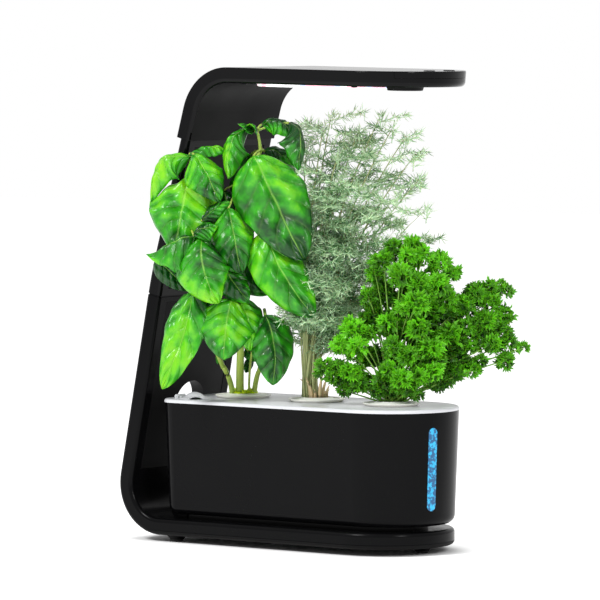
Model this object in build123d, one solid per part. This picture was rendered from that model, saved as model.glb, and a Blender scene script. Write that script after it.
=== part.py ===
from build123d import *
import os
from math import cos, radians, sin, tan

# Countertop hydroponic garden for three grow pods.
# Millimetres. +Z is up, +X points along the foot to its round nose, and the origin is on the
# table under the middle of the bowl. The light hood reaches over the pods from a leaning post.

os.makedirs("parts", exist_ok=True)

# ---------------------------------------------------------------- driving dimensions
# how far a cutting block reaches past the whole model
beyond = 400.0

# C-shaped stand, seen from the side. It stands out past the bowl's rim on each side.
stand_overhang = 2.0
stand_thick = 14.3
foot_underside = 5.3
foot_nose_x = 91.9
heel_x = -105.3
heel_radius = 43.0
post_lean = 11.2
seam_height = 212.6
riser_lean = 15.7
riser_bend = 450.0
riser_length = 144.3
riser_top_clearance = 0.3
stand_outer_corner = 4.0
stand_inner_corner = 3.5
shell_wall = 2.2
groove_height = 1.6
groove_depth = 0.8

# cover under the foot, its bosses and feet
cover_split = 4.0
cover_gap = 0.3
foot_boss_height = 3.5
foot_boss_radius = 8.5
foot_boss_taper = 2.5
foot_pad_radius = 5.5
rear_foot_ahead = 11.1
rear_foot_inset = 13.0
front_foot_inset = 20.4
cover_boss_inset = 15.0

# inner panels of the post and the riser
panel_border = 11.0
panel_thick = 2.0
panel_sunk = 0.3
panel_ledge = 1.2
panel_fit = 0.2
panel_margin = 6.0
panel_rest = 3.0
panel_back_gap = 0.05

# round pass-through in the post
port_radius = 20.0
port_wall = 2.0
port_height = 116.5
port_y = 6.0

# tongues that join post, riser and hood
tongue_half = 28.0
tongue_thick = 3.1
tongue_reach = 26.0
tongue_depth = 30.0
tongue_fit = 0.3

# light hood
hood_overhang = 2.2
hood_side_draft = 0.9
hood_thick = 13.7
hood_overlap = 1.6
hood_radius = 47.0
hood_droop = 0.75
hood_nose_x = 99.8
hood_wall = 2.0
hood_rim = 3.1
hood_top_corner = 1.2
hood_under_corner = 4.5
sleeve_lap = 7.0
sleeve_length = 26.0
underside_thick = 1.6
underside_sunk = 0.5
lens_low_x, lens_high_x = -28.0, 92.0
lens_half = 36.0
lens_corner = 24.0
lens_drop = 2.4
lens_wall = 1.6
lens_flange = 2.2
led_rows, led_columns = 5, 9
led_pitch = 12.0
led_size = 2.8
control_inset = 48.4
control_radius = 16.0
control_drop = 3.4
cap_length = 24.4
cap_depth = 6.1
button_radius = 5.0
button_offset = 14.0
button_inset = 13.5
button_travel = 0.7

# water bowl
bowl_half = 57.0
bowl_nose_x = 98.9
bowl_rear_x = -105.6
bowl_rear_corner = 15.0
bowl_bottom = 23.5
bowl_top = 119.0
bowl_draft = 2.2
bowl_wall = 2.4
bowl_floor_round = 8.0
plinth_inset = 20.0
plinth_rear_inset = 12.0
plinth_front_inset = 7.0
plinth_corner = 6.0
window_angle = 74.5
window_width = 8.8
window_low, window_high = 37.0, 106.5
window_flange = 1.6
gasket_gap = 0.05

# pump in the bowl
pump_x = -73.5
pump_radius = 18.0
pump_height = 24.0
chamber_radius = 13.0
chamber_depth = 10.0
magnet_radius = 7.0
shaft_radius = 1.0
shaft_running = 0.04
impeller_blades = 6
outlet_y = 24.0
outlet_radius = 4.0

# grow deck
deck_thick = 3.0
deck_skirt = 5.0
deck_skirt_wall = 1.6
deck_fit = 0.4
deck_rear_lip = 1.2
deck_edge_round = 1.8
fill_cap_x = -79.5
fill_cap_inset = 17.0
fill_cap_radius = 14.0
fill_cap_height = 5.8
fill_cap_edge = 0.8
fill_cap_wall = 1.6
hinge_radius = 1.7
hinge_pin_radius = 0.8
hinge_running = 0.05

# grow pods
pod_pitch = 78.5
pod_radius = 24.0
pod_hole_radius = 20.5
basket_radius = 19.9
basket_foot_radius = 14.0
basket_depth = 56.0
basket_wall = 1.6
collar_height = 2.4
collar_floor = 1.0
collar_flare = 2.4
label_rise = 2.6
basket_slots = 8
POD_NAMES = ("basil", "dill", "parsley")

# ---------------------------------------------------------------- values worked out from those
stand_half = bowl_half + stand_overhang
hood_half = stand_half + hood_overhang
hood_half_under = hood_half - hood_side_draft
hood_tip_x = hood_nose_x + hood_half
control_x = hood_tip_x - control_inset
button_x = hood_tip_x - button_inset
panel_half = stand_half - panel_border
foot_top = foot_underside + stand_thick
underside_depth = hood_thick - underside_sunk - underside_thick
riser_top_thick = underside_depth - hood_overlap - riser_top_clearance
deck_top = bowl_top + deck_thick
bowl_floor = bowl_bottom + bowl_wall
pod_centres = [bowl_nose_x - pod_pitch * (2 - i) for i in range(len(POD_NAMES))]


def save(name, shape):
    """Writes one sub-part's own file."""
    export_step(shape, f"parts/{name}.step")


# ---------------------------------------------------------------- carrying a section round the frame
# A pose is (x, z, heading) on the frame's outer line, heading in degrees from +X towards +Z.
# The frame turns clockwise from its nose to its hood, and its inner side is on the right hand.
def inward(heading):
    """The direction from the outer face towards the inner face."""
    return sin(radians(heading)), -cos(radians(heading))


def ahead(pose, length):
    """The pose after a straight run."""
    x, z, heading = pose
    return x + length * cos(radians(heading)), z + length * sin(radians(heading)), heading


def round_bend(pose, radius, turn):
    """The pose after a bend whose outer line has this radius."""
    x, z, heading = pose
    nx, nz = inward(heading)
    mx, mz = inward(heading - turn)
    return x + radius * (nx - mx), z + radius * (nz - mz), heading - turn


def section_plane(pose):
    """A plane across the frame: its x runs along -Y, its y from the outer face inwards."""
    x, z, heading = pose
    return Plane(
        origin=(x, 0, z), x_dir=(0, -1, 0), z_dir=(cos(radians(heading)), 0, sin(radians(heading)))
    )


def depth_plane(pose):
    """A plane on the outer line that looks along the inward direction."""
    x, z, heading = pose
    nx, nz = inward(heading)
    return Plane(origin=(x, 0, z), x_dir=(0, -1, 0), z_dir=(nx, 0, nz))


def band(half, low, high, low_corner=0.0, high_corner=0.0, high_half=None):
    """A slab's section between two depths, with its own corner radius at each depth."""
    top = high_half or half
    face = make_face(Polyline((-half, low), (half, low), (top, high), (-top, high), close=True))
    if low_corner:
        face = fillet([v for v in face.vertices() if abs(v.Y - low) < 1e-6], low_corner)
    if high_corner:
        face = fillet([v for v in face.vertices() if abs(v.Y - high) < 1e-6], high_corner)
    return face


def carry(section, pose, *steps):
    """Carries a section along straight runs (one number) and bends (radius, turn)."""
    solids = []
    for step in steps:
        face = section_plane(pose) * section
        if isinstance(step, tuple):
            radius, turn = step
            nx, nz = inward(pose[2])
            centre = (pose[0] + radius * nx, 0, pose[1] + radius * nz)
            solids.append(revolve(face, axis=Axis(centre, (0, 1, 0)), revolution_arc=turn))
            pose = round_bend(pose, radius, turn)
        else:
            solids.append(extrude(face, step))
            pose = ahead(pose, step)
    return Part() + solids


def nose(section, pose):
    """Turns half of a section through half a circle to close a round end."""
    half = section & Pos(beyond / 2, 0) * Rectangle(beyond, beyond)
    return revolve(section_plane(pose) * half, axis=Axis((pose[0], 0, 0), (0, 0, 1)), revolution_arc=180)


def slab(x0, x1, half, z0, z1):
    """A plain block across the frame, used for cuts and flat pieces."""
    return Pos((x0 + x1) / 2, 0, (z0 + z1) / 2) * Box(x1 - x0, 2 * half, z1 - z0)


def rod(x, y, z0, z1, radius):
    """An upright round rod."""
    return Pos(x, y, (z0 + z1) / 2) * Cylinder(radius, z1 - z0)


# ---------------------------------------------------------------- poses that the stand is built on
nose_pose = (foot_nose_x, foot_underside, 180.0)
foot_run = foot_nose_x - heel_x
heel_turn = 90.0 + post_lean
heel_pose = ahead(nose_pose, foot_run)
post_pose = round_bend(heel_pose, heel_radius, heel_turn)
post_run = (seam_height - post_pose[1]) / cos(radians(post_lean))
seam_pose = ahead(post_pose, post_run)
riser_turn = riser_lean - post_lean
riser_bent = round_bend(seam_pose, riser_bend, riser_turn)
riser_bend_run = radians(riser_turn) * riser_bend
riser_top_pose = ahead(riser_bent, riser_length - riser_bend_run)


# ---------------------------------------------------------------- stand
split_height = foot_underside + cover_split
inner_wall = panel_sunk + panel_thick + panel_ledge
cover_boss_y = stand_half - cover_boss_inset
boss_places = [
    (-88.0, 24.0), (-88.0, -24.0), (20.0, cover_boss_y), (20.0, -cover_boss_y), (112.0, 0.0)
]
boss_radius = 3.2
screw_head_radius = 2.6
screw_head = 1.8
screw_shank_radius = 1.1
screw_fit = 0.1
port_along = (port_height - post_pose[1]) / cos(radians(post_lean))
port_plane = depth_plane(ahead(post_pose, port_along)) * Pos(-port_y, 0, 0)
jack_along = 12.0
jack_plane = depth_plane(ahead(post_pose, jack_along))
jack_bore_radius = 2.8
jack_bore_depth = 9.0
jack_body = 12.0
jack_flange = 15.0
jack_flange_thick = 0.8
jack_fit = 0.1


def stand_outside():
    """The whole foot, heel and lower post, solid."""
    skin = band(stand_half, 0, stand_thick, stand_outer_corner, stand_inner_corner)
    body = carry(skin, nose_pose, foot_run, (heel_radius, heel_turn), post_run)
    return body + nose(skin, nose_pose)


def stand_hollow():
    """The space inside the foot, the heel and the lower post."""
    half = stand_half - shell_wall
    outer_corner, inner_corner = stand_outer_corner - shell_wall, stand_inner_corner - shell_wall
    low = band(half, shell_wall, stand_thick - shell_wall, outer_corner, inner_corner)
    high = band(half, shell_wall, stand_thick - inner_wall, outer_corner, inner_corner)
    foot = carry(low, nose_pose, foot_run) + nose(low, nose_pose)
    return foot + carry(high, heel_pose, (heel_radius, heel_turn), post_run - shell_wall)


def panel_seat(pose, run, half, depth):
    """A panel's slab set just under the inner face."""
    start = ahead(pose, panel_margin)
    return carry(band(half, depth, depth + panel_thick), start, run - 2 * panel_margin)


def post_opening():
    """The window and its rebate that the post's inner panel closes."""
    start = ahead(post_pose, panel_margin - panel_fit)
    run = post_run - 2 * (panel_margin - panel_fit)
    seat = stand_thick - panel_sunk - panel_thick
    rebate = carry(band(panel_half + panel_fit, seat, stand_thick + 1), start, run)
    inner = ahead(post_pose, panel_margin + panel_rest)
    hole = band(panel_half - panel_rest, stand_thick / 2, stand_thick)
    return rebate + carry(hole, inner, post_run - 2 * (panel_margin + panel_rest))


def plinth():
    """The low step on the foot that the bowl stands on."""
    half = bowl_half - plinth_inset
    rear, front = bowl_rear_x + plinth_rear_inset, bowl_nose_x + half - plinth_front_inset
    length = front - rear
    round_front = Pos((rear + front) / 2, 0, 0) * SlotOverall(length, 2 * half)
    square_rear = Pos(rear + length / 4, 0, 0) * RectangleRounded(length / 2, 2 * half, plinth_corner)
    plan = round_front + square_rear
    return extrude(Pos(0, 0, foot_top - 0.5) * plan, bowl_bottom - foot_top + 0.5)


post_tongue_depth = (stand_thick - inner_wall + shell_wall - tongue_thick) / 2


def base_shell():
    body = stand_outside() + plinth()
    body -= stand_hollow()
    body -= slab(-beyond, beyond, beyond, -1, split_height)
    for x, y in boss_places:
        boss = rod(x, y, split_height, foot_top - 1, boss_radius)
        body += boss - rod(x, y, split_height - 1, foot_top - 3, screw_shank_radius + screw_fit)
    body -= post_opening()
    body -= port_plane * Pos(0, 0, 2) * Cylinder(port_radius + port_wall + panel_fit, 16)
    body -= jack_plane * Box(jack_body + 2 * jack_fit, jack_body + 2 * jack_fit, 2 * shell_wall + 2)
    slot = band(tongue_half, post_tongue_depth, post_tongue_depth + tongue_thick)
    return body - carry(slot, ahead(seam_pose, -shell_wall - 1), shell_wall + 2) - shadow_line()


def post_inner_panel():
    """The cover of the post's inner side, with the wall of the round pass-through on its back."""
    depth = stand_thick - panel_sunk - panel_thick
    body = panel_seat(post_pose, post_run, panel_half, depth)
    reach = depth + panel_thick
    tube = port_plane * Pos(0, 0, reach / 2) * Cylinder(port_radius + port_wall, reach - 0.4)
    return body + tube - port_plane * Cylinder(port_radius, 4 * stand_thick)


def base_bottom_cover():
    body = stand_outside() & slab(-beyond, beyond, beyond, 0, split_height - cover_gap)
    hollow = band(stand_half - shell_wall, shell_wall, stand_thick, stand_outer_corner - shell_wall)
    body -= carry(hollow, nose_pose, foot_run - 1) + nose(hollow, nose_pose)
    for x, y in boss_places:
        body += rod(x, y, foot_underside + 1, split_height, boss_radius)
        body -= rod(x, y, 0, split_height + 1, screw_shank_radius + 2 * screw_fit)
        body -= rod(x, y, 0, foot_underside + screw_head + 0.2, screw_head_radius + 0.2)
    for x, y in foot_places():
        drop = Pos(x, y, foot_underside - foot_boss_height / 2)
        body += drop * Cone(foot_boss_radius - foot_boss_taper, foot_boss_radius, foot_boss_height)
        body -= rod(x, y, 0, foot_underside + 0.7, foot_pad_radius - 1)
    for x, y in board_posts():
        body += rod(x, y, foot_underside + 1, board_height, 2.2)
    return body


def foot_places():
    rear_x, rear_y = heel_x + rear_foot_ahead, stand_half - rear_foot_inset
    return [(rear_x, rear_y), (rear_x, -rear_y), (foot_nose_x + stand_half - front_foot_inset, 0.0)]


def rubber_feet():
    """Three pads, each with a stem pressed into its boss."""
    pads = []
    seat = foot_underside - foot_boss_height
    for x, y in foot_places():
        pad = rod(x, y, 0, seat, foot_pad_radius)
        pad = chamfer(pad.edges().sort_by(Axis.Z)[0], 0.6)
        pads.append(pad + rod(x, y, seat, foot_underside + 0.7, foot_pad_radius - 1))
    return Compound(children=pads)


def screw(x, y, head_low, length):
    """A pan-head screw driven upwards, with a cross recess in its head."""
    head = rod(x, y, head_low, head_low + screw_head, screw_head_radius)
    head = fillet(head.edges().sort_by(Axis.Z)[0], 0.7)
    for turn in (0, 90):
        head -= Pos(x, y, head_low + 0.4) * Rot(0, 0, turn) * Box(2.6, 0.6, 0.9)
    return head + rod(x, y, head_low + screw_head, head_low + length, screw_shank_radius)


def base_screws():
    return Compound(children=[screw(x, y, foot_underside + 0.2, 10.5) for x, y in boss_places])


board_height = foot_underside + shell_wall + 2.6
board_thick = 1.6
board_at = (-34.0, 0.0)
board_size = (62.0, 46.0)


def board_posts():
    dx, dy = board_size[0] / 2 - 4, board_size[1] / 2 - 4
    return [(board_at[0] + i * dx, board_at[1] + j * dy) for i in (-1, 1) for j in (-1, 1)]


def power_board():
    """The small board that turns the adapter's supply into lamp and pump current."""
    x, y = board_at
    top = board_height + board_thick
    board = Pos(x, y, board_height + board_thick / 2) * Box(*board_size, board_thick)
    for dx, dy, size in ((-20, 8, (8, 8, 3)), (-6, -8, (12, 9, 2.4)), (14, 6, (10, 6, 3.4))):
        board += Pos(x + dx, y + dy, top + size[2] / 2) * Box(*size)
    return board + rod(x + 22, y - 10, top, top + 3.6, 4)


def power_jack():
    """The square socket for the mains adapter, pushed through the back of the post above the heel."""
    depth = stand_thick - inner_wall - 0.3
    body = jack_plane * Pos(0, 0, depth / 2) * Box(jack_body, jack_body, depth)
    flange = Box(jack_flange, jack_flange, jack_flange_thick)
    body += jack_plane * Pos(0, 0, -jack_flange_thick / 2) * flange
    bore = Cylinder(jack_bore_radius, jack_bore_depth)
    return body - jack_plane * Pos(0, 0, jack_bore_depth / 2 - jack_flange_thick) * bore


def post_tongue():
    """The stiff insert that stands out of the post and into the riser."""
    blade = band(tongue_half, post_tongue_depth, post_tongue_depth + tongue_thick)
    body = carry(blade, ahead(seam_pose, -tongue_depth), tongue_depth + tongue_reach)
    for side in (-1, 1):
        body -= port_slot(seam_pose, side * 16)
    return body


def shadow_line():
    """The shallow groove that parts the post from the riser."""
    ring = band(stand_half + 2, -2, stand_thick + 2)
    ring -= band(
        stand_half - groove_depth, groove_depth, stand_thick - groove_depth,
        stand_outer_corner - groove_depth, stand_inner_corner - groove_depth,
    )
    return carry(ring, ahead(seam_pose, -groove_height), groove_height + 1)


def port_slot(pose, across):
    """A lightening slot along a tongue's free end."""
    plane = depth_plane(ahead(pose, tongue_reach / 2))
    return plane * Pos(across, 0, 6) * Box(10, 12, 12)


# ---------------------------------------------------------------- dock between stand and bowl
dock_front = bowl_rear_x - 2.4
dock_rear = dock_front - 14
dock_half = 14.0
dock_top = 44.0
contact_height = 36.0
contact_pitch = 7.0
pin_radius = 1.1
pin_fit = 0.25
pin_reach = 4.0


def contact_row():
    return [contact_pitch * k for k in (-1, 0, 1)]


def dock_block():
    """The socket block that stands on the foot behind the bowl."""
    body = slab(dock_rear, dock_front, dock_half, foot_top, dock_top)
    body = fillet(body.edges().filter_by(Axis.X).sort_by(Axis.Z)[-2:], 3)
    body -= stand_outside()
    for y in contact_row():
        body -= Pos(dock_front - 3, y, contact_height) * Rot(0, 90, 0) * Cylinder(pin_radius, 6)
    return body


def dock_pins():
    pins = []
    for y in contact_row():
        pin = Pos(dock_front + (pin_reach - 6) / 2, y, contact_height) * Rot(0, 90, 0)
        pin = pin * Cylinder(pin_radius, 6 + pin_reach)
        pins.append(chamfer(pin.edges().sort_by(Axis.X)[-1], 0.4))
    return Compound(children=pins)


# ---------------------------------------------------------------- riser
def riser_thick(along):
    return stand_thick + (riser_top_thick - stand_thick) * along / riser_length


def riser_at(along, depth):
    """A point of the riser's side view, by its run along the outer line and its depth."""
    if along < riser_bend_run:
        turn = riser_turn * along / riser_bend_run
        x, z, heading = round_bend(seam_pose, riser_bend, turn)
    else:
        x, z, heading = ahead(riser_bent, along - riser_bend_run)
    nx, nz = inward(heading)
    return x + nx * depth, z + nz * depth


def riser_side(outer_depth, inner_depth, start, end):
    """The riser's side view between two depths, each given as a function of the run."""
    stations = [start, (start + riser_bend_run) / 2, riser_bend_run, end]
    rows = []
    for depth in (outer_depth, inner_depth):
        points = [riser_at(along, depth(along)) for along in stations]
        rows.append([Plane.XZ.from_local_coords((x, z, 0)) for x, z in points])
    (a, b, c, d), (e, f, g, h) = rows
    outer = [ThreePointArc(a, b, c), Line(c, d)]
    inner = [Line(h, g), ThreePointArc(g, f, e)]
    return make_face(outer + [Line(d, h)] + inner + [Line(e, a)])


def riser_form(skin, inner_skin, half, start, end):
    """The riser's tapering form, with a skin taken off its outer and its inner face."""
    side = riser_side(lambda s: skin, lambda s: riser_thick(s) - inner_skin, start, end)
    return extrude(side, half, both=True)


def riser_slab(shallow, deep, half, start, end):
    """A slab that follows the riser's inner face, measured outwards from that face."""
    side = riser_side(lambda s: riser_thick(s) - deep, lambda s: riser_thick(s) - shallow, start, end)
    return extrude(side, half, both=True)


def riser_outside():
    """The riser's solid form with its long edges rounded."""
    body = riser_form(0, 0, stand_half, 0, riser_length)
    middle = riser_length / 2
    for depth, corner in ((0, stand_outer_corner), (riser_thick(middle), stand_inner_corner)):
        x, z = riser_at(middle, depth)
        long_edges = [
            g for g in body.edges()
            if g.length > 20 and abs(abs(g.center().Y) - stand_half) < 1e-3
            and min((g.position_at(t / 40) - Vector(x, g.center().Y, z)).length for t in range(41)) < 3
        ]
        body = fillet(long_edges, corner)
    return body


riser_panel_end = riser_length - sleeve_lap - 6
riser_tongue_depth = shell_wall + tongue_fit


def riser_shell():
    body = riser_outside()
    body -= riser_form(shell_wall, inner_wall, stand_half - shell_wall, -1, riser_length - shell_wall)
    body -= riser_slab(
        -2, panel_sunk + panel_thick, panel_half + panel_fit, panel_margin, riser_panel_end
    )
    body -= riser_slab(
        0, inner_wall + 1, panel_half - panel_rest, panel_margin + panel_rest, riser_panel_end - panel_rest
    )
    slot = band(tongue_half, riser_tongue_depth, riser_tongue_depth + tongue_thick)
    return body - carry(slot, ahead(riser_top_pose, -shell_wall - 1), shell_wall + 2)


def riser_inner_panel():
    back = panel_sunk + panel_thick - panel_back_gap
    return riser_slab(panel_sunk, back, panel_half, panel_margin + panel_fit, riser_panel_end - panel_fit)


def riser_tongue():
    """The insert that carries the light hood."""
    blade = band(tongue_half, riser_tongue_depth, riser_tongue_depth + tongue_thick)
    body = carry(blade, ahead(riser_top_pose, -tongue_depth), tongue_depth + tongue_reach - 2)
    for side in (-1, 1):
        body -= port_slot(riser_top_pose, side * 16)
    return body


def riser_ribbon_cable():
    """The flat cable that brings current up to the hood, laid in the riser's back."""
    strip = Pos(-42, 0) * band(5, shell_wall, shell_wall + 0.9)
    start = round_bend(seam_pose, riser_bend, 0.5)
    return carry(
        strip, start, (riser_bend, riser_turn - 0.5), riser_length - riser_bend_run - shell_wall - 0.5
    )


# ---------------------------------------------------------------- light hood
def hood_start():
    """The pose at the sleeve's lip, outside the riser's top by the overlap."""
    x, z, heading = ahead(riser_top_pose, -sleeve_lap)
    nx, nz = inward(heading)
    return x - hood_overlap * nx, z - hood_overlap * nz, heading


lip_pose = hood_start()
hood_turn = 90.0 - riser_lean
hood_bent = round_bend(ahead(lip_pose, sleeve_length), hood_radius, hood_turn)
hood_run = hood_nose_x - hood_bent[0]
hood_end = ahead(hood_bent, hood_run)
hood_top = hood_bent[1]
hood_under = hood_top - hood_thick
hood_boss_rows = ((-18.0, 10.5), (96.0, 12.5))
hood_boss_places = [(x, side * (hood_half - inset)) for x, inset in hood_boss_rows for side in (1, -1)]
lamp_board_depth = 4.0
lamp_board_thick = 1.6
lamp_post_inset = 8.0
switch_board_depth = 7.0
switch_board_border = 4.0


def droop(shape):
    """Turns what is drawn level about the shoulder's centre, because the hood runs slightly downhill."""
    x, z = hood_bent[0], hood_top - hood_radius
    return Pos(x, 0, z) * Rot(0, hood_droop, 0) * Pos(-x, 0, -z) * shape


def hood_path(section):
    """Carries a section up the sleeve, round the shoulder, along the hood and round its nose."""
    body = carry(section, lip_pose, sleeve_length, (hood_radius, hood_turn + hood_droop))
    return body + droop(carry(section, hood_bent, hood_run) + nose(section, hood_end))


def hood_outside():
    return hood_path(
        band(hood_half, 0, hood_thick, hood_top_corner, hood_under_corner, hood_half_under)
    )


def hood_hollow():
    return hood_path(band(hood_half - hood_rim, hood_wall, hood_thick + 1, 1.5))


def riser_socket():
    """The room that the riser's end takes inside the sleeve."""
    gap = 0.25
    cut = band(stand_half + gap, hood_overlap - gap, hood_thick + 1)
    return carry(cut, ahead(lip_pose, -1), sleeve_lap + 1 + gap)


def cap_space(gap):
    """The corner of the nose that the control panel takes."""
    block = slab(hood_tip_x - cap_length + gap, beyond, beyond, hood_top - cap_depth + gap, hood_top + 5)
    return droop(block)


def hood_screw_boss(x, y):
    low = hood_top - underside_depth
    boss = rod(x, y, low, hood_top - 1, 3.0)
    return droop(boss - rod(x, y, low - 1, hood_top - 3, screw_shank_radius + screw_fit))


def hood_shell():
    body = hood_outside() - hood_hollow() - riser_socket() - cap_space(0)
    for x, y in hood_boss_places:
        body += hood_screw_boss(x, y)
    return body


def lens_outline(grow):
    """The rounded plan of the lamp lens."""
    length = lens_high_x - lens_low_x + 2 * grow
    middle = (lens_high_x + lens_low_x) / 2
    return Pos(middle, 0, 0) * RectangleRounded(length, 2 * (lens_half + grow), lens_corner + grow)


def upright(outline, low, high):
    """An outline in plan, raised between two heights."""
    return extrude(Pos(0, 0, low) * outline, high - low)


def hood_underside():
    """The plate that closes the hood from the sleeve's lip to the nose."""
    high = underside_depth + underside_thick
    body = hood_path(band(hood_half - hood_rim - panel_fit, underside_depth, high))
    body -= droop(upright(lens_outline(panel_fit), hood_under - 5, hood_top))
    body -= droop(rod(control_x, 0, hood_under - 5, hood_top, control_radius - 2 + panel_fit))
    for x, y in hood_boss_places:
        body -= droop(rod(x, y, hood_under - 5, hood_top, screw_shank_radius + 2 * screw_fit))
        low = hood_top - high
        body -= droop(rod(x, y, low - 5, low + 0.6, screw_head_radius + 0.2))
    return body


def hood_screws():
    head = hood_top - underside_depth - underside_thick + 0.6 - screw_head
    return Compound(children=[droop(screw(x, y, head, 9.0)) for x, y in hood_boss_places])


def led_lens():
    """The clear tray that hangs just below the hood, with a flange on the underside plate."""
    seat = hood_top - underside_depth
    low = hood_under - lens_drop
    body = upright(lens_outline(0), low, seat + 1.2)
    body = fillet(body.edges().group_by(Axis.Z)[0], 1.4)
    body -= upright(lens_outline(-lens_wall), low + lens_wall, seat + 2)
    flange = upright(lens_outline(lens_flange), seat, seat + 1.2)
    return droop(body + flange - upright(lens_outline(-lens_wall), low + lens_wall, seat + 2))


def led_places():
    middle = (lens_high_x + lens_low_x) / 2
    places = []
    for i in range(led_columns):
        for j in range(led_rows):
            x = middle + (i - (led_columns - 1) / 2) * led_pitch
            y = (j - (led_rows - 1) / 2) * led_pitch
            places.append((x, y))
    return places


def led_board():
    """The aluminium plate that the lamps are soldered to."""
    top = hood_top - lamp_board_depth
    body = upright(lens_outline(-1.0), top - lamp_board_thick, top)
    for x in (lens_low_x + lamp_post_inset, lens_high_x - lamp_post_inset):
        body += rod(x, 0, top, hood_top - hood_wall, 2.5)
    return droop(body)


def led_lamps():
    top = hood_top - lamp_board_depth - lamp_board_thick
    lamps = []
    for x, y in led_places():
        lamps.append(droop(Pos(x, y, top - 0.45) * Box(led_size, led_size, 0.9)))
    return Compound(children=lamps)


def control_board():
    """The switch board in the nose, on two posts under the control panel."""
    top = hood_top - switch_board_depth
    half = button_offset + switch_board_border
    body = Pos(button_x - 2, 0, top - 0.8) * Box(13, 2 * half, 1.6)
    for y in (3 - half, half - 3):
        body += rod(button_x - 6, y, hood_top - underside_depth, top - 1.6, 2)
    return droop(body + Pos(button_x - 6, 0, top + 1) * Box(4, 5, 2))


def tact_switches():
    top = hood_top - switch_board_depth
    clear = hood_top - 3.3 - button_travel
    switches = []
    for y in (-button_offset, button_offset):
        body = Pos(button_x, y, top + 0.9) * Box(6, 6, 1.8)
        switches.append(droop(body + rod(button_x, y, top + 1.8, clear, 1.7)))
    return Compound(children=switches)


def control_pod():
    """The shallow round housing that hangs under the hood's free end."""
    low = hood_under - control_drop
    plate_face = hood_under + underside_sunk
    body = Pos(control_x, 0, (low + plate_face) / 2) * Cone(
        control_radius - 1.2, control_radius, plate_face - low
    )
    body = fillet(body.edges().sort_by(Axis.Z)[0], 0.8)
    neck = rod(control_x, 0, plate_face, plate_face + underside_thick + 2, control_radius - 2)
    return droop(body + neck - rod(control_x, 0, low + 1.6, plate_face + 8, control_radius - 4))


def control_panel():
    """The cap on the hood's nose, flush with its top and its edge."""
    body = (hood_outside() - hood_hollow()) & cap_space(0.25)
    for y in (-button_offset, button_offset):
        body -= droop(rod(button_x, y, hood_top - 4, hood_top + 2, button_radius + 0.2))
    for y in (-5, 5):
        body -= droop(rod(button_x, y, hood_top - 4, hood_top + 2, 1.3))
    return body


def button(y):
    """A round push button, kept in by a flange under the panel."""
    cap = rod(button_x, y, hood_top - 3.0, hood_top + 0.6, button_radius)
    cap = fillet(cap.edges().sort_by(Axis.Z)[-1], 0.8)
    flange = rod(button_x, y, hood_top - 3.0, hood_top - hood_wall - 0.1, button_radius + 0.9)
    return droop(cap + flange + rod(button_x, y, hood_top - 3.25, hood_top - 3.0, 1.6))


def indicator_pipes():
    """Two clear pipes that bring the board's lights to the panel."""
    low = hood_top - switch_board_depth + 0.05
    return Compound(children=[droop(rod(button_x, y, low, hood_top, 1.25)) for y in (-5, 5)])


# ---------------------------------------------------------------- bowl
def bowl_outline(inset):
    """The bowl's plan at its rim: square behind, half round in front."""
    half = bowl_half - inset
    rear = bowl_rear_x + inset
    square = Pos((rear + bowl_nose_x) / 2, 0) * Rectangle(bowl_nose_x - rear, 2 * half)
    corner = max(bowl_rear_corner - inset, 2)
    square = fillet([v for v in square.vertices() if v.X < 0], corner)
    return square + Pos(bowl_nose_x, 0) * Circle(half)


def bowl_form(inset, low, high, floor_round):
    """The bowl's drafted form, drawn down from its rim's height."""
    top_plan = Pos(0, 0, bowl_top) * bowl_outline(inset)
    body = extrude(top_plan, bowl_top - low, dir=(0, 0, -1), taper=bowl_draft)
    if floor_round:
        body = fillet(body.faces().sort_by(Axis.Z)[0].edges(), floor_round)
    if high > bowl_top:
        body += extrude(Pos(0, 0, bowl_top) * bowl_outline(inset), high - bowl_top)
    return body


def window_plane():
    turn = radians(window_angle)
    out = (sin(turn), -cos(turn), 0)
    return Plane(
        origin=(bowl_nose_x, 0, (window_low + window_high) / 2), x_dir=(0, 0, 1), z_dir=out
    )


def window_block(grow):
    """A rounded slot through the bowl's wall, facing the half-round front."""
    slot = SlotOverall(window_high - window_low + 2 * grow, window_width + 2 * grow)
    return extrude(window_plane() * Pos(0, 0, 30) * slot, 40)


plug_rear = dock_front + 0.4
plug_half = 13.0
rear_draft = (bowl_top - contact_height) * tan(radians(bowl_draft))


def bowl_shell():
    body = bowl_form(0, bowl_bottom, bowl_top, bowl_floor_round)
    body -= bowl_form(bowl_wall, bowl_floor, bowl_top + 1, bowl_floor_round - bowl_wall)
    body -= window_block(0.1)
    body -= Pos(bowl_rear_x, 0, contact_height) * Rot(0, 90, 0) * Cylinder(lead_radius + 0.1, 20)
    x = bowl_rear_x + rear_draft + bowl_wall / 2
    body -= slab(x - 6, x, plug_half + 0.1, contact_height - 7.1, contact_height + 7.1)
    return body


def level_window():
    """The blue window, with a flange inside the wall."""
    wall = bowl_form(-0.15, bowl_bottom, bowl_top, 0) - bowl_form(bowl_wall, bowl_bottom, bowl_top, 0)
    inside = bowl_form(bowl_wall, bowl_bottom, bowl_top, 0)
    inside -= bowl_form(bowl_wall + 1.2, bowl_bottom, bowl_top, 0)
    return (wall & window_block(0)) + (inside & window_block(window_flange))


def window_gasket():
    """The soft ring that seals the window's flange."""
    ring = window_block(window_flange + 1.8) - window_block(window_flange + 0.1)
    inside = bowl_form(bowl_wall + gasket_gap, bowl_bottom, bowl_top, 0)
    inside -= bowl_form(bowl_wall + 1.0, bowl_bottom, bowl_top, 0)
    return inside & ring


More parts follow.
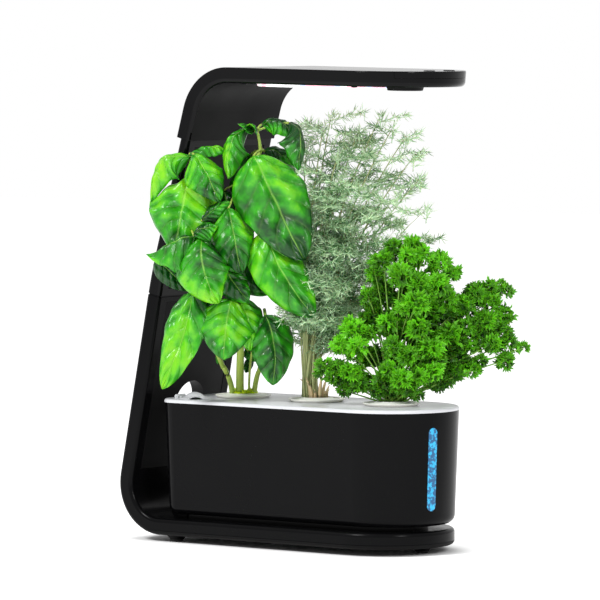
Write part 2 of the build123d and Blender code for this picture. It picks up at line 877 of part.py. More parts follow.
def pump_plug():
    """The plug on the bowl's back, with a hole for each dock pin."""
    face = bowl_rear_x + rear_draft + bowl_wall / 2
    body = slab(plug_rear, face, plug_half, contact_height - 7, contact_height + 7)
    for y in contact_row():
        hole = Pos(plug_rear, y, contact_height) * Rot(0, 90, 0)
        body -= hole * Cylinder(pin_radius + pin_fit, 2 * (pin_reach + 0.6))
    return body


# ---------------------------------------------------------------- pump
chamber_floor = bowl_floor + pump_height - chamber_depth
pump_top = bowl_floor + pump_height
well_floor = bowl_floor + 3.0
cover_thick = 2.2
lead_radius = 2.0
outlet_x = pump_x - 4.0


def pump_screw_places():
    return [
        (pump_x + 15.6 * cos(radians(a)), 15.6 * sin(radians(a))) for a in (-60, 60, 180)
    ]


def pump_housing():
    """The pump's body: a round chamber over the magnet's well, and a spout to one side."""
    body = rod(pump_x, 0, bowl_floor, pump_top, pump_radius)
    spout = rod(outlet_x, outlet_y, bowl_floor, pump_top, outlet_radius + 2)
    bridge = Pos((pump_x + outlet_x) / 2, outlet_y / 2 + 4, bowl_floor + pump_height / 2)
    body += spout + bridge * Box(10, outlet_y - 6, pump_height)
    body -= rod(pump_x, 0, chamber_floor, pump_top + 1, chamber_radius)
    body -= rod(pump_x, 0, well_floor, chamber_floor + 1, magnet_radius + 0.6)
    body -= rod(pump_x, 0, well_floor - 1.6, well_floor, shaft_radius)
    body -= rod(outlet_x, outlet_y, chamber_floor + 2, pump_top + 1, outlet_radius - 1.2)
    duct = Pos(outlet_x, outlet_y / 2 + 3, chamber_floor + 5) * Rot(90, 0, 0)
    body -= duct * Cylinder(2.4, outlet_y - 6)
    body -= rod(outlet_x, outlet_y, pump_top - 3, pump_top + 1, outlet_radius + 0.1)
    for x, y in pump_screw_places():
        body -= rod(x, y, pump_top - 6, pump_top + 1, screw_fit + 0.9)
    return body


def pump_cover():
    """The lid over the impeller, with an inlet grille round the shaft's end."""
    body = rod(pump_x, 0, pump_top, pump_top + cover_thick, pump_radius)
    ring = rod(pump_x, 0, pump_top - 1, pump_top + 4, 8) - rod(pump_x, 0, pump_top - 1, pump_top + 4, 2.6)
    for k in range(4):
        spoke = Pos(pump_x, 0, pump_top) * Rot(0, 0, 45 + 90 * k) * Pos(5, 0, 0) * Box(12, 1.6, 10)
        ring -= spoke
    body -= ring
    body -= rod(pump_x, 0, pump_top - 1, pump_top + 1.4, shaft_radius)
    for x, y in pump_screw_places():
        body -= rod(x, y, pump_top - 1, pump_top + 4, 1.2)
    return body - rod(outlet_x, outlet_y, pump_top - 1, pump_top + 4, outlet_radius + 2.4)


def pump_screws():
    screws = []
    top = pump_top + cover_thick
    for x, y in pump_screw_places():
        head = rod(x, y, top, top + 1.2, 2.0)
        head -= Pos(x, y, top + 1.2) * Box(4.2, 0.5, 0.8)
        screws.append(head + rod(x, y, pump_top - 5, top, 0.9))
    return Compound(children=screws)


def impeller_shaft():
    return rod(pump_x, 0, well_floor - 1.6, pump_top + 1.4, shaft_radius)


def impeller():
    """The rotor: a magnet below, a hub and straight blades above."""
    magnet = rod(pump_x, 0, well_floor + 0.4, chamber_floor + 0.8, magnet_radius)
    plate = rod(pump_x, 0, chamber_floor + 0.8, chamber_floor + 2.0, 11.4)
    hub = rod(pump_x, 0, chamber_floor + 2.0, pump_top - 1.0, 3.6)
    body = magnet + plate + hub
    for k in range(impeller_blades):
        place = Pos(pump_x, 0, chamber_floor + 4.8) * Rot(0, 0, 360 * k / impeller_blades)
        body += place * Pos(7, 0, 0) * Box(8.6, 1.2, 5.8)
    return body - rod(pump_x, 0, 0, pump_top + 5, shaft_radius + shaft_running)


def filter_sponge():
    """A foam ring over the inlet, held down by the nearest basket's water."""
    top = pump_top + cover_thick
    return rod(pump_x, 0, top, top + 6, 11.5) - rod(pump_x, 0, top - 1, top + 7, 4)


def outlet_tube():
    """The riser pipe that brings water up to the deck."""
    top = bowl_top - 2
    body = rod(outlet_x, outlet_y, pump_top - 3, top, outlet_radius)
    return body - rod(outlet_x, outlet_y, pump_top - 4, top + 1, outlet_radius - 1.2)


def pump_lead():
    """The sealed lead from the plug through the bowl's wall to the pump."""
    start = bowl_rear_x + rear_draft + bowl_wall / 2
    end = pump_x - pump_radius + 0.3
    body = Pos((start + end) / 2, 0, contact_height) * Rot(0, 90, 0) * Cylinder(lead_radius, end - start)
    return body - rod(pump_x, 0, 0, pump_top, pump_radius)


# ---------------------------------------------------------------- deck and fill cap
fill_cap_at = (fill_cap_x, fill_cap_inset - bowl_half)
hinge_x = fill_cap_x - fill_cap_radius - hinge_radius
hinge_z = deck_top + hinge_radius + 0.1
lug_width = 2.4
barrel_half = 3.0
fill_port_radius = 9.5
cap_arm = 3.8
cap_slot = (12.0, 2.4)
finger_notch = (15.0, 5.0)
finger_notch_depth = 1.8
finger_notch_at = (fill_cap_x + 17.5, 4.5 - bowl_half)


def deck_plate():
    plan = bowl_outline(0) + Pos(-deck_rear_lip, 0) * bowl_outline(0)
    top_half = upright(plan, bowl_top, deck_top)
    return fillet(top_half.faces().sort_by(Axis.Z)[-1].edges(), deck_edge_round)


def grow_deck():
    """The bowl's lid: a plate with a locating skirt, three pod wells and the fill port."""
    body = deck_plate()
    skirt_plan = bowl_outline(bowl_wall + deck_fit) - bowl_outline(bowl_wall + deck_fit + deck_skirt_wall)
    body += upright(skirt_plan, bowl_top - deck_skirt, bowl_top + 0.5)
    for x in pod_centres:
        body += rod(x, 0, bowl_top - 8, bowl_top + 0.5, pod_hole_radius + 1.6)
    for x in pod_centres:
        body -= rod(x, 0, 0, deck_top + 1, pod_hole_radius)
    x, y = fill_cap_at
    body -= rod(x, y, 0, deck_top + 1, fill_port_radius)
    notch = Pos(*finger_notch_at, deck_top) * SlotOverall(*finger_notch)
    body -= extrude(notch, -finger_notch_depth)
    for side in (-1, 1):
        lug_y = y + side * (barrel_half + 0.2 + lug_width / 2)
        body += Pos(hinge_x, lug_y, deck_top + hinge_radius / 2 - 0.2) * Box(
            2 * hinge_radius, lug_width, hinge_radius + 0.6
        )
        body += Pos(hinge_x, lug_y, hinge_z) * Rot(90, 0, 0) * Cylinder(hinge_radius, lug_width)
    return body - hinge_rod(hinge_pin_radius, 20)


def hinge_rod(radius, length):
    return Pos(hinge_x, fill_cap_at[1], hinge_z) * Rot(90, 0, 0) * Cylinder(radius, length)


def cap_hinge_pin():
    return hinge_rod(hinge_pin_radius, 2 * (barrel_half + 0.2 + lug_width))


def fill_cap():
    """The flap over the fill port: a mound with a flared rim, hinged at its rear."""
    x, y = fill_cap_at
    r, top = fill_cap_radius, fill_cap_height
    crest, waist, rim = (0, top), (r / 2, (top + fill_cap_edge) / 2), (r, fill_cap_edge)
    foot, hollow = fill_port_radius + 0.4, top - fill_cap_wall
    profile = [
        TangentArc(crest, waist, tangent=(1, 0)), TangentArc(rim, waist, tangent=(-1, 0)),
        Polyline(rim, (r, 0), (foot, 0)), TangentArc((0, hollow), (foot, 0), tangent=(1, 0)),
        Line((0, hollow), crest),
    ]
    seat = deck_top + 0.15
    mound = Pos(x, y, seat) * revolve(Plane.XZ * make_face(profile), axis=Axis.Z)
    slot = Plane.YZ * SlotOverall(*cap_slot)
    notch = Pos(r, 0, seat + 1.0) * extrude(slot, r - foot + 2, both=True)
    mound -= Pos(x, y, 0) * Rot(0, 0, -45) * notch
    mound += Pos(hinge_x + cap_arm / 2, y, seat + 0.9) * Box(cap_arm, 2 * barrel_half, 1.8)
    mound += hinge_rod(hinge_radius, 2 * barrel_half)
    return mound - hinge_rod(hinge_pin_radius + hinge_running, 2 * barrel_half + 2)


# ---------------------------------------------------------------- grow pods
basket_top = deck_top + 0.15
sponge_top = deck_top - 1.0
label_thick = 0.8
label_rim = 2.0


def pod_basket(x):
    """The slotted basket: a raised collar that hangs on the deck and a tapering cage below it."""
    lean = (basket_radius - basket_foot_radius) / basket_depth
    low = basket_top - basket_depth
    inner_top = basket_radius - basket_wall
    floor, top = basket_top + collar_floor, basket_top + collar_height
    outer = Polyline(
        (0, low), (basket_foot_radius, low), (basket_radius, basket_top),
        (pod_radius - collar_flare, basket_top), (pod_radius, top - 0.6), (pod_radius, top),
        (pod_radius - 1.2, top), (pod_radius - collar_flare - 0.8, floor), (inner_top, floor),
        (basket_foot_radius - basket_wall + 2 * lean, low + 2), (0, low + 2),
        close=True,
    )
    body = Pos(x, 0, 0) * revolve(make_face(Plane.XZ * outer), axis=Axis.Z)
    for k in range(basket_slots):
        turn = Rot(0, 0, 360 * (k + 0.5) / basket_slots)
        body -= Pos(x, 0, (low + basket_top) / 2 - 2) * turn * Pos(15, 0, 0) * Box(16, 5, basket_depth - 20)
    for k in range(4):
        body -= Pos(x, 0, low) * Rot(0, 0, 90 * k + 45) * Pos(7, 0, 0) * Box(7, 3, 8)
    return body


def grow_sponge(x):
    """The tapering plug of growing medium in a basket."""
    low = basket_top - basket_depth + 2.0
    high = sponge_top
    top = basket_radius - basket_wall - 0.9
    foot = basket_foot_radius - basket_wall - 0.6
    return Pos(x, 0, (low + high) / 2) * Cone(foot, top, high - low)


def pod_label(x):
    """The plain disc that keeps light off the growing medium. It rises to a hole for the stems."""
    seat = basket_top + collar_floor
    edge = pod_radius - collar_flare - 1.4
    profile = Polyline(
        (edge, seat), (edge, seat + label_thick), (edge - label_rim, seat + label_thick),
        (stem_hole, seat + label_rise), (stem_hole, seat + label_rise - label_thick),
        (edge - label_rim, seat), close=True,
    )
    return Pos(x, 0, 0) * revolve(make_face(Plane.XZ * profile), axis=Axis.Z)


# ---------------------------------------------------------------- plants
# A crown is drawn level by level. Each level gives its height, its centre along and across the
# direction in which the plants fan out, and its half length and half width in those directions.
# Heights are drawn for a given room between deck and hood, and stretch with the stand.
fan_turn = 37.3
drawn_deck = 122.0
drawn_room = 269.2
plant_stretch = (hood_under - deck_top) / drawn_room
stem_hole = 12.0
basil_levels = (
    (146, -50, 14, 16, 14), (163, -52, -2, 34, 26), (183, -56, -22, 40, 20), (203, -50, -28, 46, 22),
    (223, -56, -29, 54, 25), (243, -63, -26, 56, 26), (263, -60, -25, 50, 25), (283, -62, -22, 50, 24),
    (303, -65, -20, 54, 21), (323, -54, -18, 50, 18), (343, -40, -15, 39, 13), (360, -27, -18, 22, 9),
)
dill_levels = (
    (168, 33, -20, 12, 10), (182, 34, -18, 24, 19), (200, 33, -9, 31, 25), (220, 42, -5, 38, 28),
    (240, 42, -2, 40, 29), (260, 50, 0, 48, 27), (280, 52, 4, 52, 28), (300, 55, 8, 52, 25),
    (320, 54, 14, 50, 26), (340, 58, 12, 48, 27), (358, 48, 12, 44, 21), (371, 48, 8, 28, 12),
)
parsley_levels = (
    (129.5, 79, -62, 24, 15), (140, 84, -64, 42, 20), (155, 96, -63, 62, 22), (174, 112, -59, 72, 24),
    (194, 113, -56, 62, 24), (214, 116, -59, 56, 25), (234, 105, -59, 42, 23), (252, 95, -60, 26, 14),
    (262, 95, -57, 12, 6),
)
crown_sides = 12
stem_sets = {
    "basil": ((-5, 0, 3.0), (3, 4, 2.4), (-2, 8, 2.2), (4.5, 0, 2.2)),
    "dill": ((-4, 0, 1.8), (2, -3, 1.6), (3, 4, 2.0), (-1, 5, 1.4)),
    "parsley": ((-4, -3, 1.8), (4, -2, 1.6), (0, 5, 1.8)),
}


def fan_point(z, along, across):
    """A point in the frame's axes from its place along and across the plants' fan."""
    c, s = cos(radians(fan_turn)), sin(radians(fan_turn))
    height = deck_top + (z - drawn_deck) * plant_stretch
    return (along * c - across * s, along * s + across * c, height)


def crown(levels):
    """A plant's foliage as one closed solid with flat sides."""
    turns = [radians(360 * (k + 0.5) / crown_sides) for k in range(crown_sides)]
    rings = []
    for z, along, across, length, width in levels:
        corners = [fan_point(z, along + length * cos(t), across + width * sin(t)) for t in turns]
        rings.append(make_face(Polyline(*corners, close=True)))
    return loft(rings, ruled=True)


def stem_group(x, levels, stems, foliage):
    """Stems from the growing medium into the underside of the crown."""
    z, along, across = levels[1][:3]
    tx, ty, tz = fan_point(z, along, across)
    rods = []
    for dx, dy, radius in stems:
        foot = Vector(x + dx, dy, sponge_top)
        head = Vector(tx + dx * 1.4, ty + dy * 1.4, tz)
        lean = head - foot
        stem = extrude(Plane(origin=foot, z_dir=lean) * Circle(radius), lean.length)
        stem -= rod(x, 0, basket_top - basket_depth, sponge_top, pod_radius)
        rods.append(stem - foliage)
    return rods


# ---------------------------------------------------------------- writing the pieces
PLAIN_PIECES = {
    "base_shell": base_shell, "post_inner_panel": post_inner_panel,
    "base_bottom_cover": base_bottom_cover, "rubber_feet": rubber_feet,
    "base_screws": base_screws, "power_jack": power_jack, "power_board": power_board,
    "post_tongue": post_tongue, "dock_block": dock_block, "dock_pins": dock_pins,
    "riser_shell": riser_shell, "riser_inner_panel": riser_inner_panel,
    "riser_tongue": riser_tongue, "riser_ribbon_cable": riser_ribbon_cable,
    "hood_shell": hood_shell, "hood_underside": hood_underside, "hood_screws": hood_screws,
    "led_lens": led_lens, "led_board": led_board, "led_lamps": led_lamps,
    "control_board": control_board, "tact_switches": tact_switches, "control_pod": control_pod,
    "control_panel": control_panel, "indicator_pipes": indicator_pipes,
    "bowl_shell": bowl_shell, "level_window": level_window, "window_gasket": window_gasket,
    "pump_plug": pump_plug, "pump_housing": pump_housing, "pump_cover": pump_cover,
    "pump_screws": pump_screws, "impeller_shaft": impeller_shaft, "impeller": impeller,
    "filter_sponge": filter_sponge, "outlet_tube": outlet_tube, "pump_lead": pump_lead,
    "grow_deck": grow_deck, "cap_hinge_pin": cap_hinge_pin, "fill_cap": fill_cap,
}
for name, make in PLAIN_PIECES.items():
    save(name, make())

save("light_button", button(-button_offset))
save("feed_button", button(button_offset))

CROWNS = {"basil": basil_levels, "dill": dill_levels, "parsley": parsley_levels}
for name, x in zip(POD_NAMES, pod_centres):
    levels = CROWNS[name]
    foliage = crown(levels)
    save(f"basket_{name}", pod_basket(x))
    save(f"sponge_{name}", grow_sponge(x))
    save(f"label_{name}", pod_label(x))
    save(f"stems_{name}", Compound(children=stem_group(x, levels, stem_sets[name], foliage)))
    save(f"foliage_{name}", foliage)
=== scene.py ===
# %% [markdown]
# # A countertop hydroponic garden with three herbs
#
# This lesson gives each of them the finish that its moulding or casting has, grows a basil, a
# dill and a parsley where the model only holds plain crowns, and lights the whole like a
# product on a white sweep.

# %% Load the frame
import math
import random

import bmesh
import bpy
from mathutils import Matrix, Vector


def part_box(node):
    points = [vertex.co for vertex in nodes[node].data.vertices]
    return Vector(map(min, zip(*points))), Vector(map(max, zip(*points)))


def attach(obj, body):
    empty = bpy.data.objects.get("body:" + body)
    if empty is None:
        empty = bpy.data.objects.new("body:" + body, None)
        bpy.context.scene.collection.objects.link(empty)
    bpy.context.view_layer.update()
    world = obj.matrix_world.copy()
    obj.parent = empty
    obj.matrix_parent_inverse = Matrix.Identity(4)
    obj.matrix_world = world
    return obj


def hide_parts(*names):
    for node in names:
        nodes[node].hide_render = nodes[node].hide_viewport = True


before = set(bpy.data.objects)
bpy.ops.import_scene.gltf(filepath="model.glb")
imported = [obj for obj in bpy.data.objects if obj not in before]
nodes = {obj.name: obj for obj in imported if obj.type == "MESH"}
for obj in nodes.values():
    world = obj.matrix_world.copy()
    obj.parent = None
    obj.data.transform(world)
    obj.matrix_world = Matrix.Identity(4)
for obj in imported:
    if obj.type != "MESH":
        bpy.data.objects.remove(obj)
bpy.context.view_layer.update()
MM = 0.001

# %% [markdown]
# Small helpers carry the whole lesson. Colours are written as the sRGB hex values that a paint
# chart would give, and one function turns them to the linear values that shaders want. One
# function adds a shader node with its settings and links. The short ones after it stand for the
# kinds that come up most: arithmetic, a ramp, noise and a bump.

# %% Colour, node and material helpers
def linear(hex_colour):
    """An sRGB hex value as linear red, green and blue, with full alpha."""
    values = [int(hex_colour[i : i + 2], 16) / 255 for i in (1, 3, 5)]
    curve = [v / 12.92 if v <= 0.04045 else ((v + 0.055) / 1.055) ** 2.4 for v in values]
    return (*curve, 1.0)


def add_node(tree, kind, settings=None, inputs=None):
    """Adds a shader node. An input that is given a socket is linked, and any other is set."""
    made = tree.nodes.new("ShaderNode" + kind)
    for key, value in (settings or {}).items():
        setattr(made, key, value)
    for key, value in (inputs or {}).items():
        if isinstance(value, bpy.types.NodeSocket):
            tree.links.new(value, made.inputs[key])
        else:
            made.inputs[key].default_value = value
    return made


def new_material(name, **shader_inputs):
    """A material with one Principled shader, whose plain inputs are given by name."""
    material = bpy.data.materials.new(name)
    material.use_nodes = True
    tree = material.node_tree
    tree.nodes.clear()
    inputs = {key.replace("_", " "): value for key, value in shader_inputs.items()}
    shader = add_node(tree, "BsdfPrincipled", inputs=inputs)
    add_node(tree, "OutputMaterial", inputs={"Surface": shader.outputs["BSDF"]})
    return material, tree, shader


def blend_colours(tree, factor, first, second):
    """A colour socket that goes from the first colour to the second as the factor rises."""
    mix = add_node(tree, "Mix", {"data_type": "RGBA"}, {0: factor, 6: first, 7: second})
    return mix.outputs[2]


def maths(tree, operation, *values):
    """A socket with the result of one step of arithmetic on numbers and sockets."""
    step = add_node(tree, "Math", {"operation": operation}, dict(enumerate(values)))
    return step.outputs["Value"]


def ramp(tree, value, low, high, start=0.0, end=1.0):
    """A socket that goes from start to end while the value goes from low to high."""
    stretched = add_node(tree, "MapRange", inputs={
        "Value": value, "From Min": low, "From Max": high, "To Min": start, "To Max": end,
    })
    return stretched.outputs["Result"]


def noise(tree, place, scale, detail, **more):
    """A socket with soft noise, scale times to the metre."""
    inputs = {"Vector": place, "Scale": scale, "Detail": detail, **more}
    return add_node(tree, "TexNoise", inputs=inputs).outputs["Fac"]


def add_bump(tree, shader, height, distance):
    """Lets a height socket tilt the shader's normals, with the distance in metres."""
    bump = add_node(tree, "Bump", inputs={"Height": height, "Distance": distance})
    tree.links.new(bump.outputs["Normal"], shader.inputs["Normal"])


def dress(material, *names):
    """Gives a finish to pieces of the frame."""
    for name in names:
        slots = nodes[name].data.materials
        slots.clear()
        slots.append(material)
    print(material.name, "on", ", ".join(names))


# %% [markdown]
# ## The black housings
#
# The stand, the riser, the hood and the bowl are injection-moulded ABS from polished tools. The
# eye reads that as a deep black with a soft, slightly uneven gloss: the plastic shrinks as it
# cools, which leaves a faint waviness about a centimetre long, and handling dulls it in patches.
# So the colour stays almost flat, and the roughness and a very low bump carry the finish.

# %% Moulded gloss ABS
def moulded_plastic(name, dark, pale, rough, specular, wave_mm, wave_height_mm):
    """A moulded plastic with patchy gloss and a low, slow waviness."""
    material, tree, shader = new_material(name, IOR=1.53, Specular_IOR_Level=specular)
    place = add_node(tree, "TexCoord").outputs["Object"]
    patches = noise(tree, place, 14.0, 3.0)
    colour = blend_colours(tree, patches, linear(dark), linear(pale))
    tree.links.new(colour, shader.inputs["Base Color"])
    gloss = ramp(tree, patches, 0.3, 0.7, rough * 0.85, rough * 1.2)
    tree.links.new(gloss, shader.inputs["Roughness"])
    add_bump(tree, shader, noise(tree, place, 1 / (wave_mm * MM), 2.0), wave_height_mm * MM)
    return material


gloss_abs = moulded_plastic("gloss_black_abs", "#050506", "#0a0a0b", 0.2, 0.06, 11.0, 0.012)
dress(gloss_abs, "base_shell", "bowl_shell")

# %% [markdown]
# The riser and the hood are the same black, but the hood's flat top is polished bright where its
# sides are satin. The way the surface faces sets how strongly it reflects, so only the level top
# catches the sky.

# %% Hood with a polished top
polished_abs = moulded_plastic(
    "polished_top_black_abs", "#060607", "#0b0b0c", 0.13, 0.12, 11.0, 0.008
)
polished_tree = polished_abs.node_tree
facing = add_node(polished_tree, "SeparateXYZ", inputs={
    "Vector": add_node(polished_tree, "NewGeometry").outputs["Normal"],
})
polish = ramp(polished_tree, facing.outputs["Z"], 0.95, 0.995, 0.1, 1.0)
polished_inputs = polished_tree.nodes["Principled BSDF"].inputs
polished_tree.links.new(polish, polished_inputs["Specular IOR Level"])
dress(polished_abs, "riser_shell", "hood_shell", "control_panel")

# %% [markdown]
# The inner panels, the hood's underside and the cover below the foot are the same plastic from
# spark-eroded tools. Their fine grain, about half a millimetre across, scatters the light, so
# they look darker and flatter than the polished skins beside them.

# %% Grained satin ABS
grained_abs = moulded_plastic("grained_black_abs", "#020202", "#060607", 0.5, 0.1, 0.6, 0.02)
dress(
    grained_abs, "post_inner_panel", "riser_inner_panel", "base_bottom_cover", "hood_underside",
    "control_pod", "dock_block", "power_jack", "pump_plug", "light_button", "feed_button",
)

# %% [markdown]
# The deck and its fill flap are a pale cool-grey ABS with the same fine grain. The pods'
# collars are natural polypropylene: milky, a little warm, and smooth.

# %% Deck, collars and labels
deck_abs = moulded_plastic("pale_grey_abs", "#c6c7cb", "#d0d1d5", 0.3, 0.5, 0.7, 0.008)
dress(deck_abs, "grow_deck", "fill_cap")
collar_pp = moulded_plastic("natural_polypropylene", "#f1efe2", "#f8f7ee", 0.32, 0.5, 6.0, 0.01)
collar_inputs = collar_pp.node_tree.nodes["Principled BSDF"].inputs
collar_inputs["Subsurface Weight"].default_value = 0.25
collar_inputs["Subsurface Scale"].default_value = 3 * MM
collar_inputs["Subsurface Radius"].default_value = (1.0, 0.95, 0.8)
dress(collar_pp, "basket_basil", "basket_dill", "basket_parsley")
label_card = moulded_plastic("coated_label_card", "#eeefe8", "#f4f5ef", 0.6, 0.4, 0.4, 0.01)
dress(label_card, "label_basil", "label_dill", "label_parsley")

# %% [markdown]
# The growing medium is pressed peat. Its crumbs are about a millimetre across and vary from
# black to tan, so a cell pattern at that size drives both the colour and a deep bump. The
# filter is open black foam, which is the same idea with darker cells.

# %% Peat and foam
def crumbs(name, dark, pale, crumb_mm, depth_mm):
    """A loose, crumbly surface with cells of one size."""
    material, tree, shader = new_material(name, Roughness=0.95, Specular_IOR_Level=0.2)
    place = add_node(tree, "TexCoord").outputs["Object"]
    cells = add_node(tree, "TexVoronoi", inputs={"Vector": place, "Scale": 1 / (crumb_mm * MM)})
    speckle = noise(tree, place, 900.0, 4.0)
    colour = blend_colours(tree, speckle, linear(dark), linear(pale))
    tree.links.new(colour, shader.inputs["Base Color"])
    add_bump(tree, shader, cells.outputs["Distance"], depth_mm * MM)
    return material


peat = crumbs("pressed_peat", "#22160e", "#6b4a30", 1.2, 0.8)
dress(peat, "sponge_basil", "sponge_dill", "sponge_parsley")
foam = crumbs("open_filter_foam", "#0c0c0d", "#2a2a2c", 0.9, 0.9)
dress(foam, "filter_sponge")

# %% [markdown]
# The small hardware keeps its everyday finishes: black rubber, zinc-plated steel, brass contact
# pins, a green lacquered circuit board, rolled aluminium and grey technical plastics.

# %% Rubber, metals and boards
rubber = moulded_plastic("moulded_rubber", "#151515", "#1d1d1d", 0.75, 0.3, 0.8, 0.03)
dress(rubber, "rubber_feet", "window_gasket", "pump_lead")


def plain_metal(name, colour, rough, streak_mm):
    """A metal whose roughness varies along fine drawn or rolled streaks."""
    material, tree, shader = new_material(name, Metallic=1.0)
    shader.inputs["Base Color"].default_value = linear(colour)
    place = add_node(tree, "TexCoord").outputs["Object"]
    stretch = add_node(tree, "Mapping", inputs={"Vector": place, "Scale": (1.0, 12.0, 1.0)})
    streaks = noise(tree, stretch.outputs["Vector"], 1 / (streak_mm * MM), 3.0)
    gloss = ramp(tree, streaks, 0.0, 1.0, rough * 0.7, rough * 1.4)
    tree.links.new(gloss, shader.inputs["Roughness"])
    return material


zinc_steel = plain_metal("zinc_plated_steel", "#b9bbbd", 0.3, 1.0)
dress(zinc_steel, "pump_screws", "cap_hinge_pin")
black_zinc = plain_metal("black_zinc_steel", "#1b1b1d", 0.4, 1.0)
dress(black_zinc, "base_screws", "hood_screws")
brass = plain_metal("turned_brass", "#d8b46a", 0.22, 0.6)
dress(brass, "dock_pins")
rolled_alloy = plain_metal("rolled_aluminium", "#d2d4d6", 0.35, 1.4)
dress(rolled_alloy, "post_tongue", "riser_tongue", "led_board")
lacquered_board = moulded_plastic(
    "lacquered_circuit_board", "#0f4a2a", "#1a6238", 0.35, 0.5, 2.5, 0.02
)
dress(lacquered_board, "power_board", "control_board")
technical_grey = moulded_plastic("glass_filled_nylon", "#4a4b4e", "#5a5b5e", 0.55, 0.4, 0.5, 0.02)
dress(
    technical_grey, "tact_switches", "pump_housing", "pump_cover", "outlet_tube",
    "riser_ribbon_cable",
)
pale_acetal = moulded_plastic("white_acetal", "#dcdcd8", "#e6e6e2", 0.35, 0.5, 3.0, 0.01)
dress(pale_acetal, "impeller", "impeller_shaft")

# %% [markdown]
# ## The level window
#
# The window is clear acrylic with blue light behind it, and the water's bubbles and the floating
# roots break that light into blotches three or four millimetres across. Noise and cells between
# a bright and a dark blue paint that light and shade into the colour, and a little emission paints
# the glow of the light behind.

# %% Blue window
def level_window_finish():
    """Clear blue acrylic, with painted light, painted shadow and a painted glow for the lit water
    behind it.
    """
    material, tree, shader = new_material("blue_level_window", IOR=1.49, Roughness=0.12)
    place = add_node(tree, "TexCoord").outputs["Object"]
    blotches = noise(tree, place, 260.0, 3.0, Roughness=0.6, Distortion=0.8)
    bubbles = add_node(tree, "TexVoronoi", inputs={"Vector": place, "Scale": 330.0})
    shade = maths(tree, "MULTIPLY_ADD", bubbles.outputs["Distance"], -0.35, blotches)
    # Painted light and shade: bright blue where the light comes through, dark where bubbles and
    # roots shade it.
    painted_backlight = ramp(tree, shade, 0.28, 0.42)
    colour = blend_colours(tree, painted_backlight, linear("#0a4f7c"), linear("#1ea4d6"))
    tree.links.new(colour, shader.inputs["Base Color"])
    tree.links.new(colour, shader.inputs["Emission Color"])
    shader.inputs["Emission Strength"].default_value = 0.25
    return material


dress(level_window_finish(), "level_window")

# %% [markdown]
# ## The lamp
#
# Under the hood, forty-five lamps shine through a prismatic tray: white ones, with pink and blue
# ones among them. The tray's prisms blur and split each into soft spots, so the lens glows white
# with coloured streaks. A grid gives the spots, at the pitch of the lamps or of the prisms, and
# white noise on the grid's whole numbers picks each spot's colour.

# %% Glowing lens and lamps
LAMP_PITCH = 12 * MM
PRISM_PITCH = 6 * MM
PINK_OVER, BLUE_UNDER = 0.62, 0.2


def lamp_colours(tree, place, pitch):
    """White light with coloured spots on a grid."""
    scaled = add_node(tree, "VectorMath", {"operation": "SCALE"}, {0: place, "Scale": 1 / pitch})
    floor = add_node(tree, "VectorMath", {"operation": "FLOOR"}, {0: scaled.outputs["Vector"]})
    flat = add_node(tree, "VectorMath", {"operation": "MULTIPLY"}, {
        0: floor.outputs["Vector"], 1: (1.0, 1.0, 0.0),
    })
    pick = add_node(tree, "TexWhiteNoise", {"noise_dimensions": "3D"}, {
        "Vector": flat.outputs["Vector"],
    }).outputs["Value"]
    warm = maths(tree, "GREATER_THAN", pick, PINK_OVER)
    cool = maths(tree, "LESS_THAN", pick, BLUE_UNDER)
    pink = blend_colours(tree, warm, linear("#ffffff"), linear("#ff6f9c"))
    return blend_colours(tree, cool, pink, linear("#7f9cff"))


def glowing(name, strength, pitch):
    """A lit, diffusing plastic."""
    material, tree, shader = new_material(name, IOR=1.49, Roughness=0.3)
    place = add_node(tree, "TexCoord").outputs["Object"]
    colour = lamp_colours(tree, place, pitch)
    shader.inputs["Base Color"].default_value = linear("#f2f2f5")
    tree.links.new(colour, shader.inputs["Emission Color"])
    shader.inputs["Emission Strength"].default_value = strength
    return material


dress(glowing("prismatic_lens", 0.9, PRISM_PITCH), "led_lens")
dress(glowing("lit_lamp_package", 1.5, LAMP_PITCH), "led_lamps")
smoked_acrylic = moulded_plastic("smoked_acrylic_pipe", "#26272a", "#303135", 0.1, 0.5, 2.0, 0.005)
dress(smoked_acrylic, "indicator_pipes")

# %% [markdown]
# ## Growing the plants
#
# The three plants fan out in one upright plane that is turned 37.3 degrees from the stand, so
# they are described by three lengths in millimetres: along that plane, into it, and up. One
# function turns those into the frame's axes. Each plant is one mesh of many leaves, written
# straight into bmesh, which keeps thousands of leaflets light and lets every leaf differ. The
# labels lie 1.15 mm over the deck, and every stem starts just on the growing medium.

# %% The plants' own axes
FAN_TURN = math.radians(37.3)
FAN_COS, FAN_SIN = math.cos(FAN_TURN), math.sin(FAN_TURN)
DECK_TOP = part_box("label_basil")[0].z / MM - 1.15
MEDIUM_TOP = DECK_TOP - 0.9


def fan(along, into, up):
    """A place in the frame, from millimetres along, into and up the plants' plane."""
    return Vector((along * FAN_COS - into * FAN_SIN, along * FAN_SIN + into * FAN_COS, up)) * MM


def pod_centre(name):
    """The middle of a pod's label, as millimetres along and into the plants' plane."""
    low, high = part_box("label_" + name)
    x, y, _ = (low + high) / 2
    return (x * FAN_COS + y * FAN_SIN) / MM, (y * FAN_COS - x * FAN_SIN) / MM


pods = {name: pod_centre(name) for name in ("basil", "dill", "parsley")}
print("pods along and into the plane:", {k: [round(v, 1) for v in p] for k, p in pods.items()})

# %% [markdown]
# A leaf follows a bent spine. At each step along the spine a cross row of points is laid out to
# the leaf's width there. The row droops at its edges, puckers between the side veins as basil
# does, and ripples at the margin. UVs hold the place along and across the leaf, because the
# veins in the material are drawn from them, and a point attribute holds the leaf's own tone.
# Heights and depths with a name here are shares of the leaf's width.

# %% Leaf and stem builders
leaf_rng = random.Random(3)
VEIN_PAIRS, VEIN_LEAN = 5.0, 1.4
LEAF_STEPS, HALF_ROW = 34, 9
PUCKER, DENT, ROLL, EDGE_DROOP = 0.075, 0.05, 0.1, 1.35
MIDRIB_DEPTH, MIDRIB_WIDTH = 0.07, 0.14


